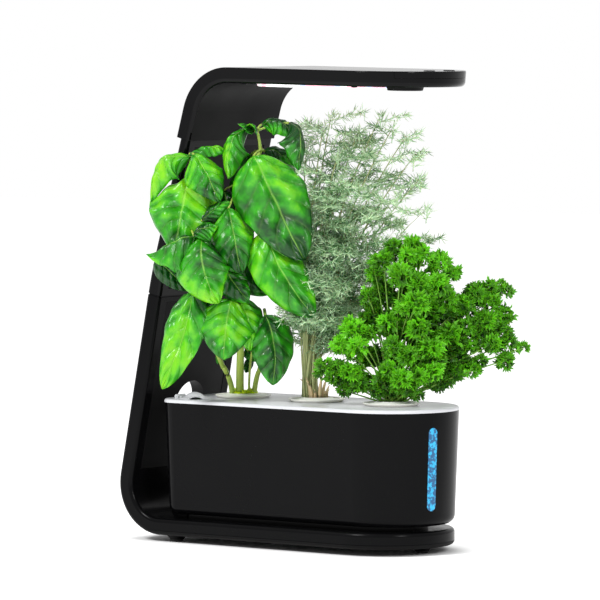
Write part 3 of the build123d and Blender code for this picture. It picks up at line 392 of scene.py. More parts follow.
def bend(a, b, c, t):
    """A point on the curve that starts at a, leans towards b and ends at c."""
    return a * (1 - t) ** 2 + b * (2 * t * (1 - t)) + c * (t * t)


def bend_direction(a, b, c, t):
    """The way in which that curve heads."""
    return ((b - a) * (1 - t) + (c - b) * t).normalized()


def ovate(t):
    """The width of an egg-shaped, pointed leaf, from 0 at its base to 0 at its tip."""
    if t <= 0 or t >= 1:
        return 0.0
    return math.sin(math.pi * t ** 0.74) ** 0.56


def add_leaf(mesh, spine, width, face, tone, cup, fold=0.0, twist=0.0, ripple=0.03):
    """Adds one leaf blade. Lengths are in metres. Cup, fold and ripple are shares of width."""
    a, b, c = spine
    uv, shade = mesh.loops.layers.uv["leaf"], mesh.verts.layers.float["tone"]
    sway, swell = leaf_rng.uniform(0, 6.28), leaf_rng.uniform(0.8, 1.25)
    rows = []
    for i in range(LEAF_STEPS + 1):
        t = i / LEAF_STEPS
        ahead = bend_direction(a, b, c, t)
        up = (face - ahead * face.dot(ahead)).normalized()
        up = Matrix.Rotation(twist * (t - 0.5), 3, ahead) @ up
        side = ahead.cross(up)
        reach = max(width * 0.5 * ovate(t), width * 0.012)
        row = []
        for j in range(-HALF_ROW, HALF_ROW + 1):
            v = j / HALF_ROW
            quilt = abs(math.sin(math.pi * (VEIN_PAIRS * t - VEIN_LEAN * abs(v))))
            quilt *= 0.45 + 0.55 * abs(math.sin(math.pi * (2.1 * v + 2.6 * t) + sway))
            pucker = quilt * (1 - v * v) * (0.3 + 0.7 * abs(v)) * PUCKER * swell
            dent = DENT * math.sin(11.0 * t + 5.0 * v + sway)
            dent *= math.sin(6.0 * v - 4.0 * t + 2 * sway)
            roll = ROLL * math.sin(4.2 * t + sway) * math.sin(2.2 * v + sway) + dent
            drop = -EDGE_DROOP * cup * v * v - fold * abs(v)
            drop -= MIDRIB_DEPTH * math.exp(-(v / MIDRIB_WIDTH) ** 2)
            shift = 2.1 * (1 if v > 0 else 0) + sway
            wave = ripple * math.sin(9.0 * math.pi * t + shift) * abs(v) ** 3
            lift = drop * reach * 2 + (pucker + wave + roll) * width * min(1.0, ovate(t) + 0.1)
            vert = mesh.verts.new(bend(a, b, c, t) + side * (reach * v) + up * lift)
            patch = 0.24 * math.sin(2.6 * t + sway) * swell
            vert[shade] = tone + patch + 0.12 * math.cos(3.0 * v + sway)
            row.append(vert)
        rows.append(row)
    for i in range(LEAF_STEPS):
        for j in range(2 * HALF_ROW):
            corners = [(i, j), (i + 1, j), (i + 1, j + 1), (i, j + 1)]
            quad = mesh.faces.new([rows[p][q] for p, q in corners])
            quad.smooth = True
            for loop, (p, q) in zip(quad.loops, corners):
                loop[uv].uv = (p / LEAF_STEPS, q / (2 * HALF_ROW))


def add_ring(mesh, point, ahead, radius, tone, sides):
    """Adds a ring of points round a place on a stem that heads ahead."""
    shade = mesh.verts.layers.float["tone"]
    across = ahead.orthogonal().normalized()
    ring = []
    for k in range(sides):
        turned = Matrix.Rotation(2 * math.pi * k / sides, 3, ahead) @ across
        vert = mesh.verts.new(point + turned * radius)
        vert[shade] = tone
        ring.append(vert)
    return ring


def add_tube(mesh, points, radii, tone, sides):
    """Adds a tapering stem along points, with one radius for each."""
    rings = []
    for i, point in enumerate(points):
        ahead = (points[min(i + 1, len(points) - 1)] - points[max(i - 1, 0)]).normalized()
        rings.append(add_ring(mesh, point, ahead, radii[i], tone, sides))
    for low, high in zip(rings, rings[1:]):
        for k in range(sides):
            after = (k + 1) % sides
            quad = mesh.faces.new((low[k], low[after], high[after], high[k]))
            quad.smooth = True
    mesh.faces.new(rings[0][::-1])
    mesh.faces.new(rings[-1])


def stem_run(a, b, c, count=10):
    """Points along a bent stem."""
    return [bend(a, b, c, i / (count - 1)) for i in range(count)]


def new_plant_mesh():
    """An empty mesh whose points can hold a tone, and whose faces can hold leaf UVs."""
    mesh = bmesh.new()
    mesh.verts.layers.float.new("tone")
    mesh.loops.layers.uv.new("leaf")
    return mesh


def add_object(name, data):
    """Puts an object with this data into the scene."""
    added = bpy.data.objects.new(name, data)
    bpy.context.scene.collection.objects.link(added)
    return added


def place_piece(mesh, name, material, body, replaced, thickness=0.0):
    """Turns a bmesh into a piece that moves with its pod and stands for a node of the frame."""
    data = bpy.data.meshes.new(name)
    mesh.to_mesh(data)
    mesh.free()
    data.materials.append(material)
    piece = add_object(name, data)
    if thickness:
        shell = piece.modifiers.new("blade thickness", "SOLIDIFY")
        shell.thickness = thickness
        shell.offset = 0.0
    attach(piece, body)
    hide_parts(replaced)
    print(name, "faces:", len(data.polygons))


# %% [markdown]
# ### Leaf finishes
#
# A basil leaf is a waxy, thick blade. Its cuticle gives broad soft highlights, the flesh between
# the veins is a saturated yellow-green, and the veins are paler and sunken. Light also passes
# through, which the subsurface share stands for. Veins come from the leaf's own UVs: one line
# along the middle, and side lines that lean forward as they run out to the margin.

# %% Leaf materials
VEIN_SHARE = 0.4
ACCENT_TONE = 2.0


def leaf_material(name, deep, middle_green, bright, vein, rough):
    """A leaf whose veins come from its UVs and whose tone differs from leaf to leaf."""
    material, tree, shader = new_material(
        name, IOR=1.45, Roughness=rough, Specular_IOR_Level=0.45,
        Subsurface_Weight=0.12, Subsurface_Scale=2 * MM,
    )
    shader.inputs["Subsurface Radius"].default_value = (0.6, 1.0, 0.2)
    tone = add_node(tree, "Attribute", {"attribute_name": "tone"}).outputs["Fac"]
    uv = add_node(tree, "UVMap", {"uv_map": "leaf"}).outputs["UV"]
    split = add_node(tree, "SeparateXYZ", inputs={"Vector": uv})
    out = maths(tree, "ABSOLUTE", maths(tree, "MULTIPLY_ADD", split.outputs["Y"], 2.0, -1.0))
    lean = maths(tree, "MULTIPLY", out, -VEIN_LEAN)
    phase = maths(tree, "MULTIPLY_ADD", split.outputs["X"], VEIN_PAIRS, lean)
    nearest = maths(tree, "PINGPONG", phase, 0.5)
    side = ramp(tree, nearest, 0.0, 0.12, 1.0, 0.0)
    middle = ramp(tree, out, 0.01, 0.05, 1.0, 0.0)
    place = add_node(tree, "TexCoord").outputs["Object"]
    mottle = noise(tree, place, 55.0, 3.0, Roughness=0.55)
    # The flesh is painted darker towards the side veins and lighter on the domes between them:
    # painted shade in the furrows.
    furrow_shaded_tone = maths(tree, "MULTIPLY_ADD", nearest, 0.3, tone)
    mixed = maths(tree, "MULTIPLY_ADD", mottle, 1.2, furrow_shaded_tone)
    level, pale = ramp(tree, mixed, 0.85, 1.35), ramp(tree, mixed, 1.2, 2.0)
    green = blend_colours(tree, level, linear(deep), linear(middle_green))
    flesh = blend_colours(tree, pale, green, linear(bright))
    faint = maths(tree, "MULTIPLY", side, 0.15 * VEIN_SHARE)
    strong = maths(tree, "MULTIPLY", middle, VEIN_SHARE)
    colour = blend_colours(tree, maths(tree, "MAXIMUM", faint, strong), flesh, linear(vein))
    tree.links.new(colour, shader.inputs["Base Color"])
    relief = maths(tree, "MULTIPLY_ADD", nearest, 1.6, mottle)
    height = maths(tree, "MULTIPLY_ADD", maths(tree, "MAXIMUM", side, middle), -0.5, relief)
    add_bump(tree, shader, height, 0.8 * MM)
    return material


def herb_material(name, deep, bright, rough, accent="#c8e400"):
    """A fine herb or a stalk. The tone picks its green, and near 2 it gives an accent colour."""
    material, tree, shader = new_material(
        name, IOR=1.45, Roughness=rough, Specular_IOR_Level=0.4,
        Subsurface_Weight=0.08, Subsurface_Scale=1 * MM,
    )
    tone = add_node(tree, "Attribute", {"attribute_name": "tone"}).outputs["Fac"]
    place = add_node(tree, "TexCoord").outputs["Object"]
    mixed = maths(tree, "MULTIPLY_ADD", noise(tree, place, 160.0, 2.0), 0.4, tone)
    green = blend_colours(tree, ramp(tree, mixed, 0.15, 1.2), linear(deep), linear(bright))
    colour = blend_colours(tree, ramp(tree, tone, 1.1, 1.9), green, linear(accent))
    tree.links.new(colour, shader.inputs["Base Color"])
    return material


basil_skin = leaf_material("waxy_basil_leaf", "#03400a", "#36ac10", "#a2dc1c", "#a4e060", 0.3)
basil_stem = herb_material("basil_stalk", "#6f9a2c", "#b9cf63", 0.4)
# The dill's near-white pale end is partly painted highlight on the fine threads.
dill_skin = herb_material("feathery_dill", "#1f6a20", "#d6f2c6", 0.5)
dill_stem = herb_material("dill_stalk", "#6f8040", "#cdd39c", 0.5, "#d6c096")
parsley_skin = herb_material("curly_parsley", "#063004", "#6fce1a", 0.42)
parsley_stem = herb_material("parsley_stalk", "#3c7a1c", "#9acb52", 0.45)

# %% [markdown]
# ### Basil
#
# Large basil grows in crossed pairs of egg-shaped leaves. Each row of the table is one leaf: the
# spine's base, bend and tip, the width, the way its upper side faces, the tone from dark to
# yellow-green, how far its edges cup, and at times a fold, twist or ripple. The leaves that the
# eye meets first come first, and dark ones that fill the gaps between them come last; their dark
# tone is painted shade for the inside of the plant.

# %% Basil leaves
LEAF_SPREAD = 1.1

BASIL_LEAVES = (
    ((-37, -34, 330), (-18, -52, 296), (6, -40, 243), 56, (0.1, -1, 0.35), 0.36, 0.16),
    ((-92, -12, 311), (-98, -44, 292), (-104, -34, 250), 54, (-0.1, -1, 0.45), 0.75, 0.22),
    ((-86, -34, 263), (-104, -46, 262), (-127, -38, 248), 26, (-0.2, -0.5, 1), 0.6, 0.3,
     {"fold": 0.5, "ripple": 0.1}),
    ((-90, -14, 329), (-124, -20, 340), (-124, -16, 291), 22, (-0.6, -0.55, 0.7), 0.45, 0.35,
     {"fold": 0.2}),
    ((-87, -24, 331), (-74, -44, 318), (-65, -36, 292), 31, (0.15, -1, 0.5), 0.45, 0.3),
    ((-91, -15, 331), (-77, -21, 344), (-60, -16, 334), 18, (0, -0.4, 1), 0.35, 0.3),
    ((-41, -12, 352), (-66, -28, 352), (-58, -30, 311), 24, (-0.5, -0.9, 0.3), 0.4, 0.35,
     {"fold": 0.3}),
    ((-36, -14, 350), (-42, -20, 359), (-50, -22, 357), 9, (0, -0.5, 1), 0.5, 0.3),
    ((-34, -14, 350), (-37, -24, 359), (-40, -28, 357), 10, (0, -0.7, 1), 0.7, 0.3),
    ((-30, -14, 356), (-14, -22, 368), (-3, -22, 346), 20, (0.3, -0.75, 0.7), 0.5, 0.3),
    ((-7, -20, 358), (10, -24, 352), (1, -26, 318), 24, (0.65, -0.75, 0.2), 0.25, 0.3,
     {"fold": 0.2}),
    ((-28, 2, 333), (-14, -2, 338), (-2, 0, 322), 18, (0.1, -0.8, 0.7), 0.1, 0.3),
    ((-58, -36, 286), (-52, -56, 264), (-47, -44, 232), 33, (0.1, -1, 0.3), 0.42, 0.3),
    ((-80, -30, 276), (-70, -38, 290), (-57, -34, 292), 15, (0.3, -0.7, 0.7), 0.15, 0.35),
    ((-87, -40, 264), (-78, -48, 274), (-67, -42, 272), 17, (0.1, -0.8, 0.7), 0.35, 0.35),
    ((-80, -38, 260), (-84, -66, 238), (-66, -50, 207), 44, (-0.1, -1, 0.4), 0.55, 0.28),
    ((-28, -32, 268), (-14, -54, 232), (14, -42, 195), 42, (0.15, -1, 0.3), 0.7, 0.24,
     {"twist": 0.4}),
    ((-62, -32, 240), (-56, -40, 226), (-41, -36, 208), 26, (0.1, -1, 0.3), 0.5, 0.2),
    ((-88, -26, 216), (-94, -42, 184), (-114, -34, 134), 31, (-0.25, -1, 0.25), 0.5, 0.14),
    ((-55, -30, 209), (-62, -50, 188), (-62, -40, 159), 43, (0, -1, 0.35), 0.45, 0.2),
    ((-49, -22, 209), (-38, -36, 196), (-40, -30, 166), 28, (0.2, -1, 0.3), 0.4, 0.2),
    ((-75, -20, 210), (-82, -32, 198), (-78, -26, 179), 24, (-0.2, -1, 0.3), 0.35, 0.2),
    ((-27, -24, 196), (-14, -38, 170), (-21, -30, 137), 35, (0.2, -1, 0.25), 0.5, 0.2,
     {"twist": -0.3}),
    ((-120, -14, 243), (-104, -20, 230), (-92, -14, 216), 20, (0, -1, 0.2), 0.05, 0.2),
    # From here on the leaves sit inside the plant, and their near-black tones are painted shade.
    ((-62, 6, 300), (-58, -10, 280), (-50, 0, 240), 44, (0, -1, 0.3), 0.0, 0.2),
    ((-40, 8, 330), (-30, -8, 312), (-18, 0, 270), 46, (0.1, -1, 0.3), 0.05, 0.2),
    ((-83, -7, 283), (-80, -16, 266), (-78, -9, 234), 38, (-0.1, -1, 0.3), 0.02, 0.2),
    ((-52, 2, 250), (-40, -12, 236), (-24, -6, 212), 40, (0.1, -1, 0.3), 0.05, 0.2),
    ((-58, 24, 166), (-64, 14, 162), (-68, 12, 152), 10, (0, -0.8, 0.6), 0.1, 0.2),
    ((-44, 22, 164), (-40, 14, 162), (-36, 14, 154), 10, (0, -0.8, 0.6), 0.15, 0.2),
    ((-40, 26, 158), (-42, 20, 150), (-44, 20, 144), 7, (0, -0.8, 0.6), 0.1, 0.2),
)
basil = new_plant_mesh()
for base, middle, tip, width, face, tone, cup, *more in BASIL_LEAVES:
    spine = [fan(*place) for place in (base, middle, tip)]
    toward = fan(*face).normalized()
    shape = more[0] if more else {}
    add_leaf(basil, spine, LEAF_SPREAD * width * MM, toward, tone, cup, **shape)
place_piece(
    basil, "basil_leaves", basil_skin, "pod_basil", "foliage_basil", 0.45 * MM
)

# %% [markdown]
# Basil stalks are pale at the foot and greener above. The main ones part just over the label, and
# a thin petiole runs to the base of every leaf. Pale sprouts ring the foot.

# %% Basil stalks
basil_along, basil_into = pods["basil"]
BASIL_STALKS = (
    ((-3, 0), (-49, 12, 150), (-48, 0, 172), 3.6, 3.0),
    ((-9, 0), (-56, 22, 138), (-63, 10, 150), 2.5, 2.1),
    ((9, 0), (-36, 20, 142), (-30, 6, 152), 2.4, 1.9),
    ((5, -3), (-42, 20, 142), (-38, 4, 168), 1.1, 0.9),
)
UPPER_STALKS = (
    ((-48, 0, 171), (-54, -8, 214), (-56, -10, 262), 3.0, 2.2),
    ((-56, -10, 261), (-48, -12, 306), (-31, -12, 334), 2.2, 1.6),
    ((-31, -12, 333), (-32, -13, 344), (-34, -14, 351), 1.6, 1.1),
    ((-63, 10, 149), (-80, 0, 190), (-88, -10, 216), 2.1, 1.5),
    ((-88, -10, 215), (-96, -8, 270), (-90, -10, 330), 1.5, 1.0),
    ((-30, 6, 151), (-24, 0, 176), (-28, -8, 200), 1.9, 1.4),
)
stalks = new_plant_mesh()


def add_stalk(foot, middle, top, low_radius, high_radius, tone):
    """Adds a bent basil stalk that tapers evenly, with its radii in millimetres."""
    points = stem_run(foot, fan(*middle), fan(*top))
    steps = len(points) - 1
    radii = [(low_radius + (high_radius - low_radius) * i / steps) * MM for i in range(steps + 1)]
    add_tube(stalks, points, radii, tone, 9)


for (foot_along, foot_into), *stalk in BASIL_STALKS:
    add_stalk(fan(basil_along + foot_along, basil_into + foot_into, MEDIUM_TOP), *stalk, 0.75)
for foot, *stalk in UPPER_STALKS:
    add_stalk(fan(*foot), *stalk, 0.45)
NODES_ON_STALK = (
    (-48, 0, 172), (-54, -8, 214), (-56, -10, 262), (-48, -12, 306), (-31, -12, 334),
    (-34, -14, 351), (-80, 0, 190), (-88, -10, 216), (-93, -9, 270), (-90, -10, 330), (-24, 0, 176),
    (-28, -8, 200),
)
PETIOLE_RADII = [1.0 * MM] * 6
for base, *_ in BASIL_LEAVES:
    end = fan(*base)
    start = min((fan(*joint) for joint in NODES_ON_STALK), key=lambda p: (p - end).length)
    middle = (start + end) / 2 + Vector((0, 0, 3 * MM))
    add_tube(stalks, stem_run(start, middle, end, len(PETIOLE_RADII)), PETIOLE_RADII, 0.5, 6)
SPROUT_RADII = [2.2 * MM, 2.4 * MM, 0.6 * MM]
for turn in range(0, 360, 24):
    ring = leaf_rng.uniform(7.5, 10.5)
    at = fan(basil_along, basil_into, DECK_TOP + 3.0)
    at += Vector((ring * math.cos(math.radians(turn)), ring * math.sin(math.radians(turn)), 0)) * MM
    rise = Vector((leaf_rng.uniform(-2, 2), leaf_rng.uniform(-2, 2), leaf_rng.uniform(2.5, 5))) * MM
    add_tube(stalks, [at, at + rise * 0.5, at + rise], SPROUT_RADII, ACCENT_TONE, 6)
place_piece(stalks, "basil_stalks", basil_stem, "pod_basil", "stems_basil")

# %% [markdown]
# ### Dill
#
# A dill frond is a rib with side ribs, which fork into soft threads under a millimetre wide.
# Thousands of them make the haze that the eye sees, so each thread is only a long three-sided
# spike. Every stalk carries alternate fronds, short and open at the top and long and drooping
# lower down. The box of the plain crown limits how far back and up they reach.

# %% Dill fronds
dill_rng = random.Random(11)
RIB_GAP = 4.2 * MM
RIB_RADII = [0.45 * MM, 0.4 * MM, 0.35 * MM, 0.3 * MM, 0.2 * MM]
SIDE_RIB_WIDTH, SIDE_RIB_SAG = 0.8 * MM, 0.6 * MM
THREAD_WIDTH, THREAD_SAG = 0.7 * MM, 0.4 * MM
THREADS = 4


def wander(limit):
    """A random step of up to the limit along each axis."""
    return Vector([dill_rng.uniform(-limit, limit) for _ in range(3)])


def add_thread(mesh, start, end, width, tone, sag):
    """Adds one needle of a frond: two joined spikes that bend a little."""
    ahead = (end - start).normalized()
    middle = (start + end) / 2 + Vector((0, 0, -sag))
    low = add_ring(mesh, start, ahead, width * 0.5 * 0.8, tone, 3)
    high = add_ring(mesh, middle, ahead, width * 0.5, tone, 3)
    tip = mesh.verts.new(end)
    tip[mesh.verts.layers.float["tone"]] = min(1.0, tone + 0.1)
    for k in range(3):
        after = (k + 1) % 3
        mesh.faces.new((low[k], low[after], high[after], high[k]))
        mesh.faces.new((high[k], high[after], tip))
    mesh.faces.new(low[::-1])


def add_frond(mesh, start, heading, length, droop, tone):
    """Adds a feathery frond: a rib with side ribs that fork into threads."""
    gravity = Vector((0, 0, -1))
    side = heading.cross(gravity)
    side = side.normalized() if side.length > 0.1 else Vector((1, 0, 0))
    middle = start + heading * (length * 0.55)
    end = start + heading * length * 0.95 + gravity * (droop * length)
    ribs = max(4, int(length / RIB_GAP))
    add_tube(mesh, stem_run(start, middle, end, len(RIB_RADII)), RIB_RADII, tone, 4)
    for i in range(1, ribs + 1):
        t = i / ribs
        root = bend(start, middle, end, t)
        ahead = bend_direction(start, middle, end, t)
        reach = length * 0.34 * math.sin(math.pi * (0.18 + 0.78 * t)) + 2 * MM
        for hand in (-1, 1):
            rib = (ahead * 0.75 + side * hand * 0.9 + wander(0.35)).normalized()
            add_thread(mesh, root, root + rib * reach, SIDE_RIB_WIDTH, tone, SIDE_RIB_SAG)
            for _ in range(THREADS):
                at = root + rib * reach * dill_rng.uniform(0.25, 0.8)
                way = (rib + wander(0.9)).normalized()
                shade = min(1.0, max(0.0, tone + dill_rng.uniform(-0.6, 0.6)))
                end_at = at + way * dill_rng.uniform(4.5, 9.5) * MM
                add_thread(mesh, at, end_at, THREAD_WIDTH, shade, THREAD_SAG)


DILL_STALK_TOPS = (
    (8, 12, 340), (22, 4, 354), (29, 16, 364), (40, 18, 338), (52, 8, 351), (60, 20, 340),
    (70, 10, 362), (80, 4, 352), (91, 10, 344), (98, 4, 328), (104, 8, 310), (109, 2, 284),
    (108, 0, 258), (14, 2, 300), (36, -4, 312), (60, -4, 300), (84, 0, 296), (28, 2, 262),
    (46, -10, 268), (16, -6, 232), (52, -8, 236), (66, -2, 262), (6, 8, 276), (38, 6, 236),
    (76, 6, 250), (58, 2, 222), (28, -6, 216), (80, 4, 232), (12, -2, 252), (24, 4, 286),
    (44, -12, 250), (64, -8, 280), (88, 2, 272), (34, -8, 330),
)
dill_along, dill_into = pods["dill"]
DILL_BACK, DILL_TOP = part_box("foliage_dill")[1].yz
dill, dill_stalks = new_plant_mesh(), new_plant_mesh()
FROND_TURN, FROND_GAP = 2.4, 14
STALK_POINTS = 14
for along, into, up in DILL_STALK_TOPS:
    foot_along = dill_along - 6 + dill_rng.uniform(-6, 7)
    foot = fan(foot_along, dill_into + dill_rng.uniform(-5, 5), MEDIUM_TOP)
    top = fan(along, into, up)
    lean_along = dill_along - 15 + (along - dill_along) * 0.2
    lean = fan(lean_along, (dill_into + into) / 2, DECK_TOP + (up - DECK_TOP) * 0.5)
    thick = 1.5 if up > 300 else 0.8
    radii = [thick * (1 - 0.76 * i / (STALK_POINTS - 1)) * MM for i in range(STALK_POINTS)]
    add_tube(dill_stalks, stem_run(foot, lean, top, STALK_POINTS), radii, 0.55, 6)
    fronds = max(5, int((up - DECK_TOP) / FROND_GAP))
    for i in range(fronds):
        share = 0.34 + 0.66 * ((i + 0.5) / fronds) ** 1.2
        root = bend(foot, lean, top, share)
        turn = i * FROND_TURN + dill_rng.uniform(-0.6, 0.6)
        rise = 0.55 + dill_rng.uniform(-0.3, 0.4)
        heading = Vector((math.cos(turn), math.sin(turn), rise)).normalized()
        length = (26 + 14 * (1 - share) + dill_rng.uniform(-4, 6)) * MM
        heading.y = min(heading.y, (DILL_BACK - root.y) / length)
        heading.z = min(heading.z, (min(DILL_TOP, top.z + 5 * MM) - root.z) / length)
        heading.normalize()
        # The tone rises a little up the stalk, and the top frond is lighter still: painted
        # highlight on the upper dill.
        tone = 0.52 + 0.06 * share + dill_rng.uniform(-0.3, 0.35)
        add_frond(dill, root, heading, length, 0.1 + 0.3 * (1 - share), tone)
    add_frond(dill, top - Vector((0, 0, 12 * MM)), Vector((0.1, 0, 1)), 13 * MM, 0.0, 0.85)
SHEATH_RADII = [1.3 * MM, 1.5 * MM, 1.4 * MM, 1.0 * MM, 0.6 * MM, 0.2 * MM]
for turn in range(0, 360, 30):
    out = Vector((math.cos(math.radians(turn)), math.sin(math.radians(turn)), 0))
    foot = fan(dill_along, dill_into, MEDIUM_TOP) + out * dill_rng.uniform(5, 9) * MM
    rise = Vector((0, 0, dill_rng.uniform(9, 26) * MM))
    tip = foot + rise + out * dill_rng.uniform(3, 9) * MM
    sheath = stem_run(foot, foot + rise * 0.8, tip, len(SHEATH_RADII))
    add_tube(dill_stalks, sheath, SHEATH_RADII, ACCENT_TONE, 6)
place_piece(dill, "dill_fronds", dill_skin, "pod_dill", "foliage_dill")
place_piece(dill_stalks, "dill_stalks", dill_stem, "pod_dill", "stems_dill")

# %% [markdown]
# ### Parsley
#
# Curled parsley is a cloud of small sprigs. A sprig ends in a dozen or so crisped leaflets, each
# a fan cut into blunt teeth. One function makes such a fan, another turns the fans outwards round
# a sprig's tip, and a table says where the sprigs sit and how light they are. A darker sprig
# stands behind each, and another between the plant's middle and each that is far out; their
# darker tone is painted shade inside the cloud. Each tuft is painted lighter on top and darker
# below, and each leaflet darker at its root.

# %% Parsley sprigs
parsley_rng = random.Random(5)
TEETH = 9
SPRIG_TURN = 2.399


def add_crisp_fan(mesh, root, heading, across, size, tone):
    """Adds one crisped leaflet: a fan of toothed lobes, cupped and waved."""
    shade = mesh.verts.layers.float["tone"]
    up = heading.cross(across).normalized()
    centre = mesh.verts.new(root)
    # The leaflet is darker at its root, where it meets the crowded middle of the tuft: painted
    # shade.
    centre[shade] = max(0.0, tone - 0.25)
    inner, outer = [], []
    phase = parsley_rng.uniform(0, 6.3)
    for k in range(2 * TEETH + 1):
        angle = math.radians(-105 + 210 * k / (2 * TEETH))
        ray = heading * math.cos(angle) + across * math.sin(angle)
        tooth = 1.0 if k % 2 else 0.62
        lobe = 1.0 - 0.25 * abs(math.sin(angle * 1.5))
        wave = up * (size * 0.2 * math.sin(angle * 4 + phase))
        half = mesh.verts.new(root + ray * (size * 0.45 * lobe) + wave * 0.6)
        full = mesh.verts.new(root + ray * (size * tooth * lobe) + wave + up * (size * 0.16))
        half[shade] = tone
        full[shade] = min(1.0, tone + 0.22)
        inner.append(half)
        outer.append(full)
    for k in range(2 * TEETH):
        mesh.faces.new((centre, inner[k], inner[k + 1]))
        mesh.faces.new((inner[k], outer[k], outer[k + 1], inner[k + 1]))


def add_sprig(mesh, middle, radius, tone):
    """Adds a rounded tuft of leaflets that face outwards and up."""
    count = max(7, int(radius * 1.5))
    for k in range(count):
        height = 1 - 1.55 * (k + 0.5) / count
        turn = k * SPRIG_TURN + parsley_rng.uniform(-0.4, 0.4)
        flat = math.sqrt(max(0.0, 1 - height * height))
        out = Vector((flat * math.cos(turn), flat * math.sin(turn), height))
        root = middle + out * (radius * 0.42 * MM)
        tangent = out.orthogonal().normalized()
        tangent = Matrix.Rotation(parsley_rng.uniform(0, 6.3), 3, out) @ tangent
        heading = (out * 0.75 + tangent * 0.65).normalized()
        across = heading.cross(tangent)
        across = across.normalized() if across.length > 0.05 else out.orthogonal().normalized()
        size = radius * parsley_rng.uniform(0.62, 0.9) * MM
        # Leaflets higher on the tuft are lighter and lower ones darker: painted light from above.
        shade = tone + 0.15 * height + parsley_rng.uniform(-0.3, 0.3)
        add_crisp_fan(mesh, root, heading, across, size, min(1.0, max(0.0, shade)))


# Along, into and up the plants' plane, the sprig's radius, and its tone.
PARSLEY_SPRIGS = (
    (81, -52, 254, 9, 0.35), (97, -56, 255, 10, 0.5), (92, -66, 247, 10, 0.75),
    (106, -64, 248, 10, 0.7), (120, -58, 241, 11, 0.7), (128, -54, 231, 9, 0.6),
    (72, -60, 243, 10, 0.4), (65, -58, 233, 9, 0.35), (86, -76, 231, 13, 0.5),
    (101, -78, 224, 12, 0.45), (117, -68, 223, 12, 0.5), (126, -58, 213, 10, 0.5),
    (59, -58, 214, 9, 0.3), (72, -50, 215, 12, 0.0), (99, -82, 209, 13, 0.65),
    (139, -50, 206, 11, 0.35), (150, -44, 214, 10, 0.35), (161, -40, 220, 9, 0.3),
    (175, -36, 216, 9, 0.3), (163, -44, 206, 10, 0.35), (174, -42, 196, 11, 0.3),
    (159, -50, 192, 11, 0.35), (172, -44, 184, 10, 0.35), (151, -46, 184, 9, 0.25),
    (163, -50, 172, 10, 0.5), (177, -44, 173, 9, 0.4), (190, -40, 169, 7, 0.45),
    (175, -46, 159, 9, 0.2), (47, -66, 186, 11, 0.8), (36, -64, 173, 10, 0.85),
    (51, -72, 172, 11, 0.8), (60, -66, 182, 9, 0.45), (76, -70, 192, 11, 0.55),
    (84, -60, 184, 13, 0.1), (101, -74, 187, 13, 0.45), (112, -76, 170, 12, 0.5),
    (128, -62, 181, 12, 0.45), (137, -52, 171, 11, 0.1), (124, -54, 164, 12, 0.05),
    (128, -50, 148, 12, 0.05), (147, -50, 151, 10, 0.4), (138, -48, 157, 11, 0.1),
    (122, -48, 140, 9, 0.05), (23, -60, 154, 10, 0.3), (32, -58, 144, 10, 0.1),
    (43, -64, 150, 10, 0.6), (52, -62, 139, 10, 0.3), (39, -58, 134, 8, 0.25),
    (81, -78, 172, 11, 0.45), (92, -80, 164, 11, 0.4), (78, -80, 152, 10, 0.45),
    (87, -84, 145, 11, 0.65), (101, -82, 147, 11, 0.45), (113, -76, 151, 11, 0.65),
    (94, -82, 137, 9, 0.35), (72, -72, 143, 10, 0.1), (66, -66, 133, 8, 0.2),
    (80, -66, 134, 8, 0.1), (101, -70, 131, 7, 0.25), (64, -54, 196, 12, 0.05),
    (112, -56, 200, 14, 0.05), (92, -52, 210, 15, 0.0), (106, -50, 160, 14, 0.0),
    (60, -52, 160, 12, 0.05), (90, -40, 190, 14, 0.15), (110, -36, 178, 13, 0.2),
    (96, -38, 226, 12, 0.3), (130, -36, 196, 12, 0.2),
)
parsley_along, parsley_into = pods["parsley"]
parsley, parsley_stalks = new_plant_mesh(), new_plant_mesh()
STALK_RADII = [(1.0 - 0.06 * i) * MM for i in range(9)]
for along, into, up, radius, tone in PARSLEY_SPRIGS:
    tip = fan(along, into, up)
    add_sprig(parsley, tip, radius, tone)
    aside, above = parsley_rng.uniform(-9, 9), parsley_rng.uniform(-8, 4)
    toward_middle = 0.06 * (parsley_along + 14 - along)
    # The sprig behind and the inner one are darker: painted shade inside the cloud.
    behind = fan(along + toward_middle + aside * 0.6, into + 7, max(up + above, DECK_TOP + 9))
    add_sprig(parsley, behind, radius * 0.95, tone * 0.45 + parsley_rng.uniform(0, 0.25))
    if abs(along - parsley_along) > 30:
        inner = tip.lerp(fan(parsley_along, parsley_into, (up + DECK_TOP) / 2 + 14), 0.22)
        add_sprig(parsley, inner, radius * 0.85, tone * 0.6)
    foot_along = parsley_along + parsley_rng.uniform(-7, 7)
    foot = fan(foot_along, parsley_into + parsley_rng.uniform(-5, 5), MEDIUM_TOP)
    lean_along = parsley_along + (along - parsley_along) * 0.35
    lean_share = 0.4 + 0.25 * min(1.0, (up - DECK_TOP) / 90)
    lean = fan(lean_along, (parsley_into + into) / 2, DECK_TOP + (up - DECK_TOP) * lean_share)
    add_tube(parsley_stalks, stem_run(foot, lean, tip, len(STALK_RADII)), STALK_RADII, 0.5, 5)
place_piece(
    parsley, "parsley_sprigs", parsley_skin, "pod_parsley", "foliage_parsley",
    0.25 * MM,
)
place_piece(
    parsley_stalks, "parsley_stalks", parsley_stem, "pod_parsley", "stems_parsley"
)

# %% [markdown]
# ## The set
#
# The garden stands on a white sweep. The floor keeps the soft shadow under the foot, and glows a
# little where nothing stands near it; the glow fades close to the part, which paints a darker
# contact shadow round the foot. The world shows white to the camera and lights the part at half
# that. Two large lamps, one high on the left and a tall strip at the right front, draw
# highlights along the round edges of the black plastic.

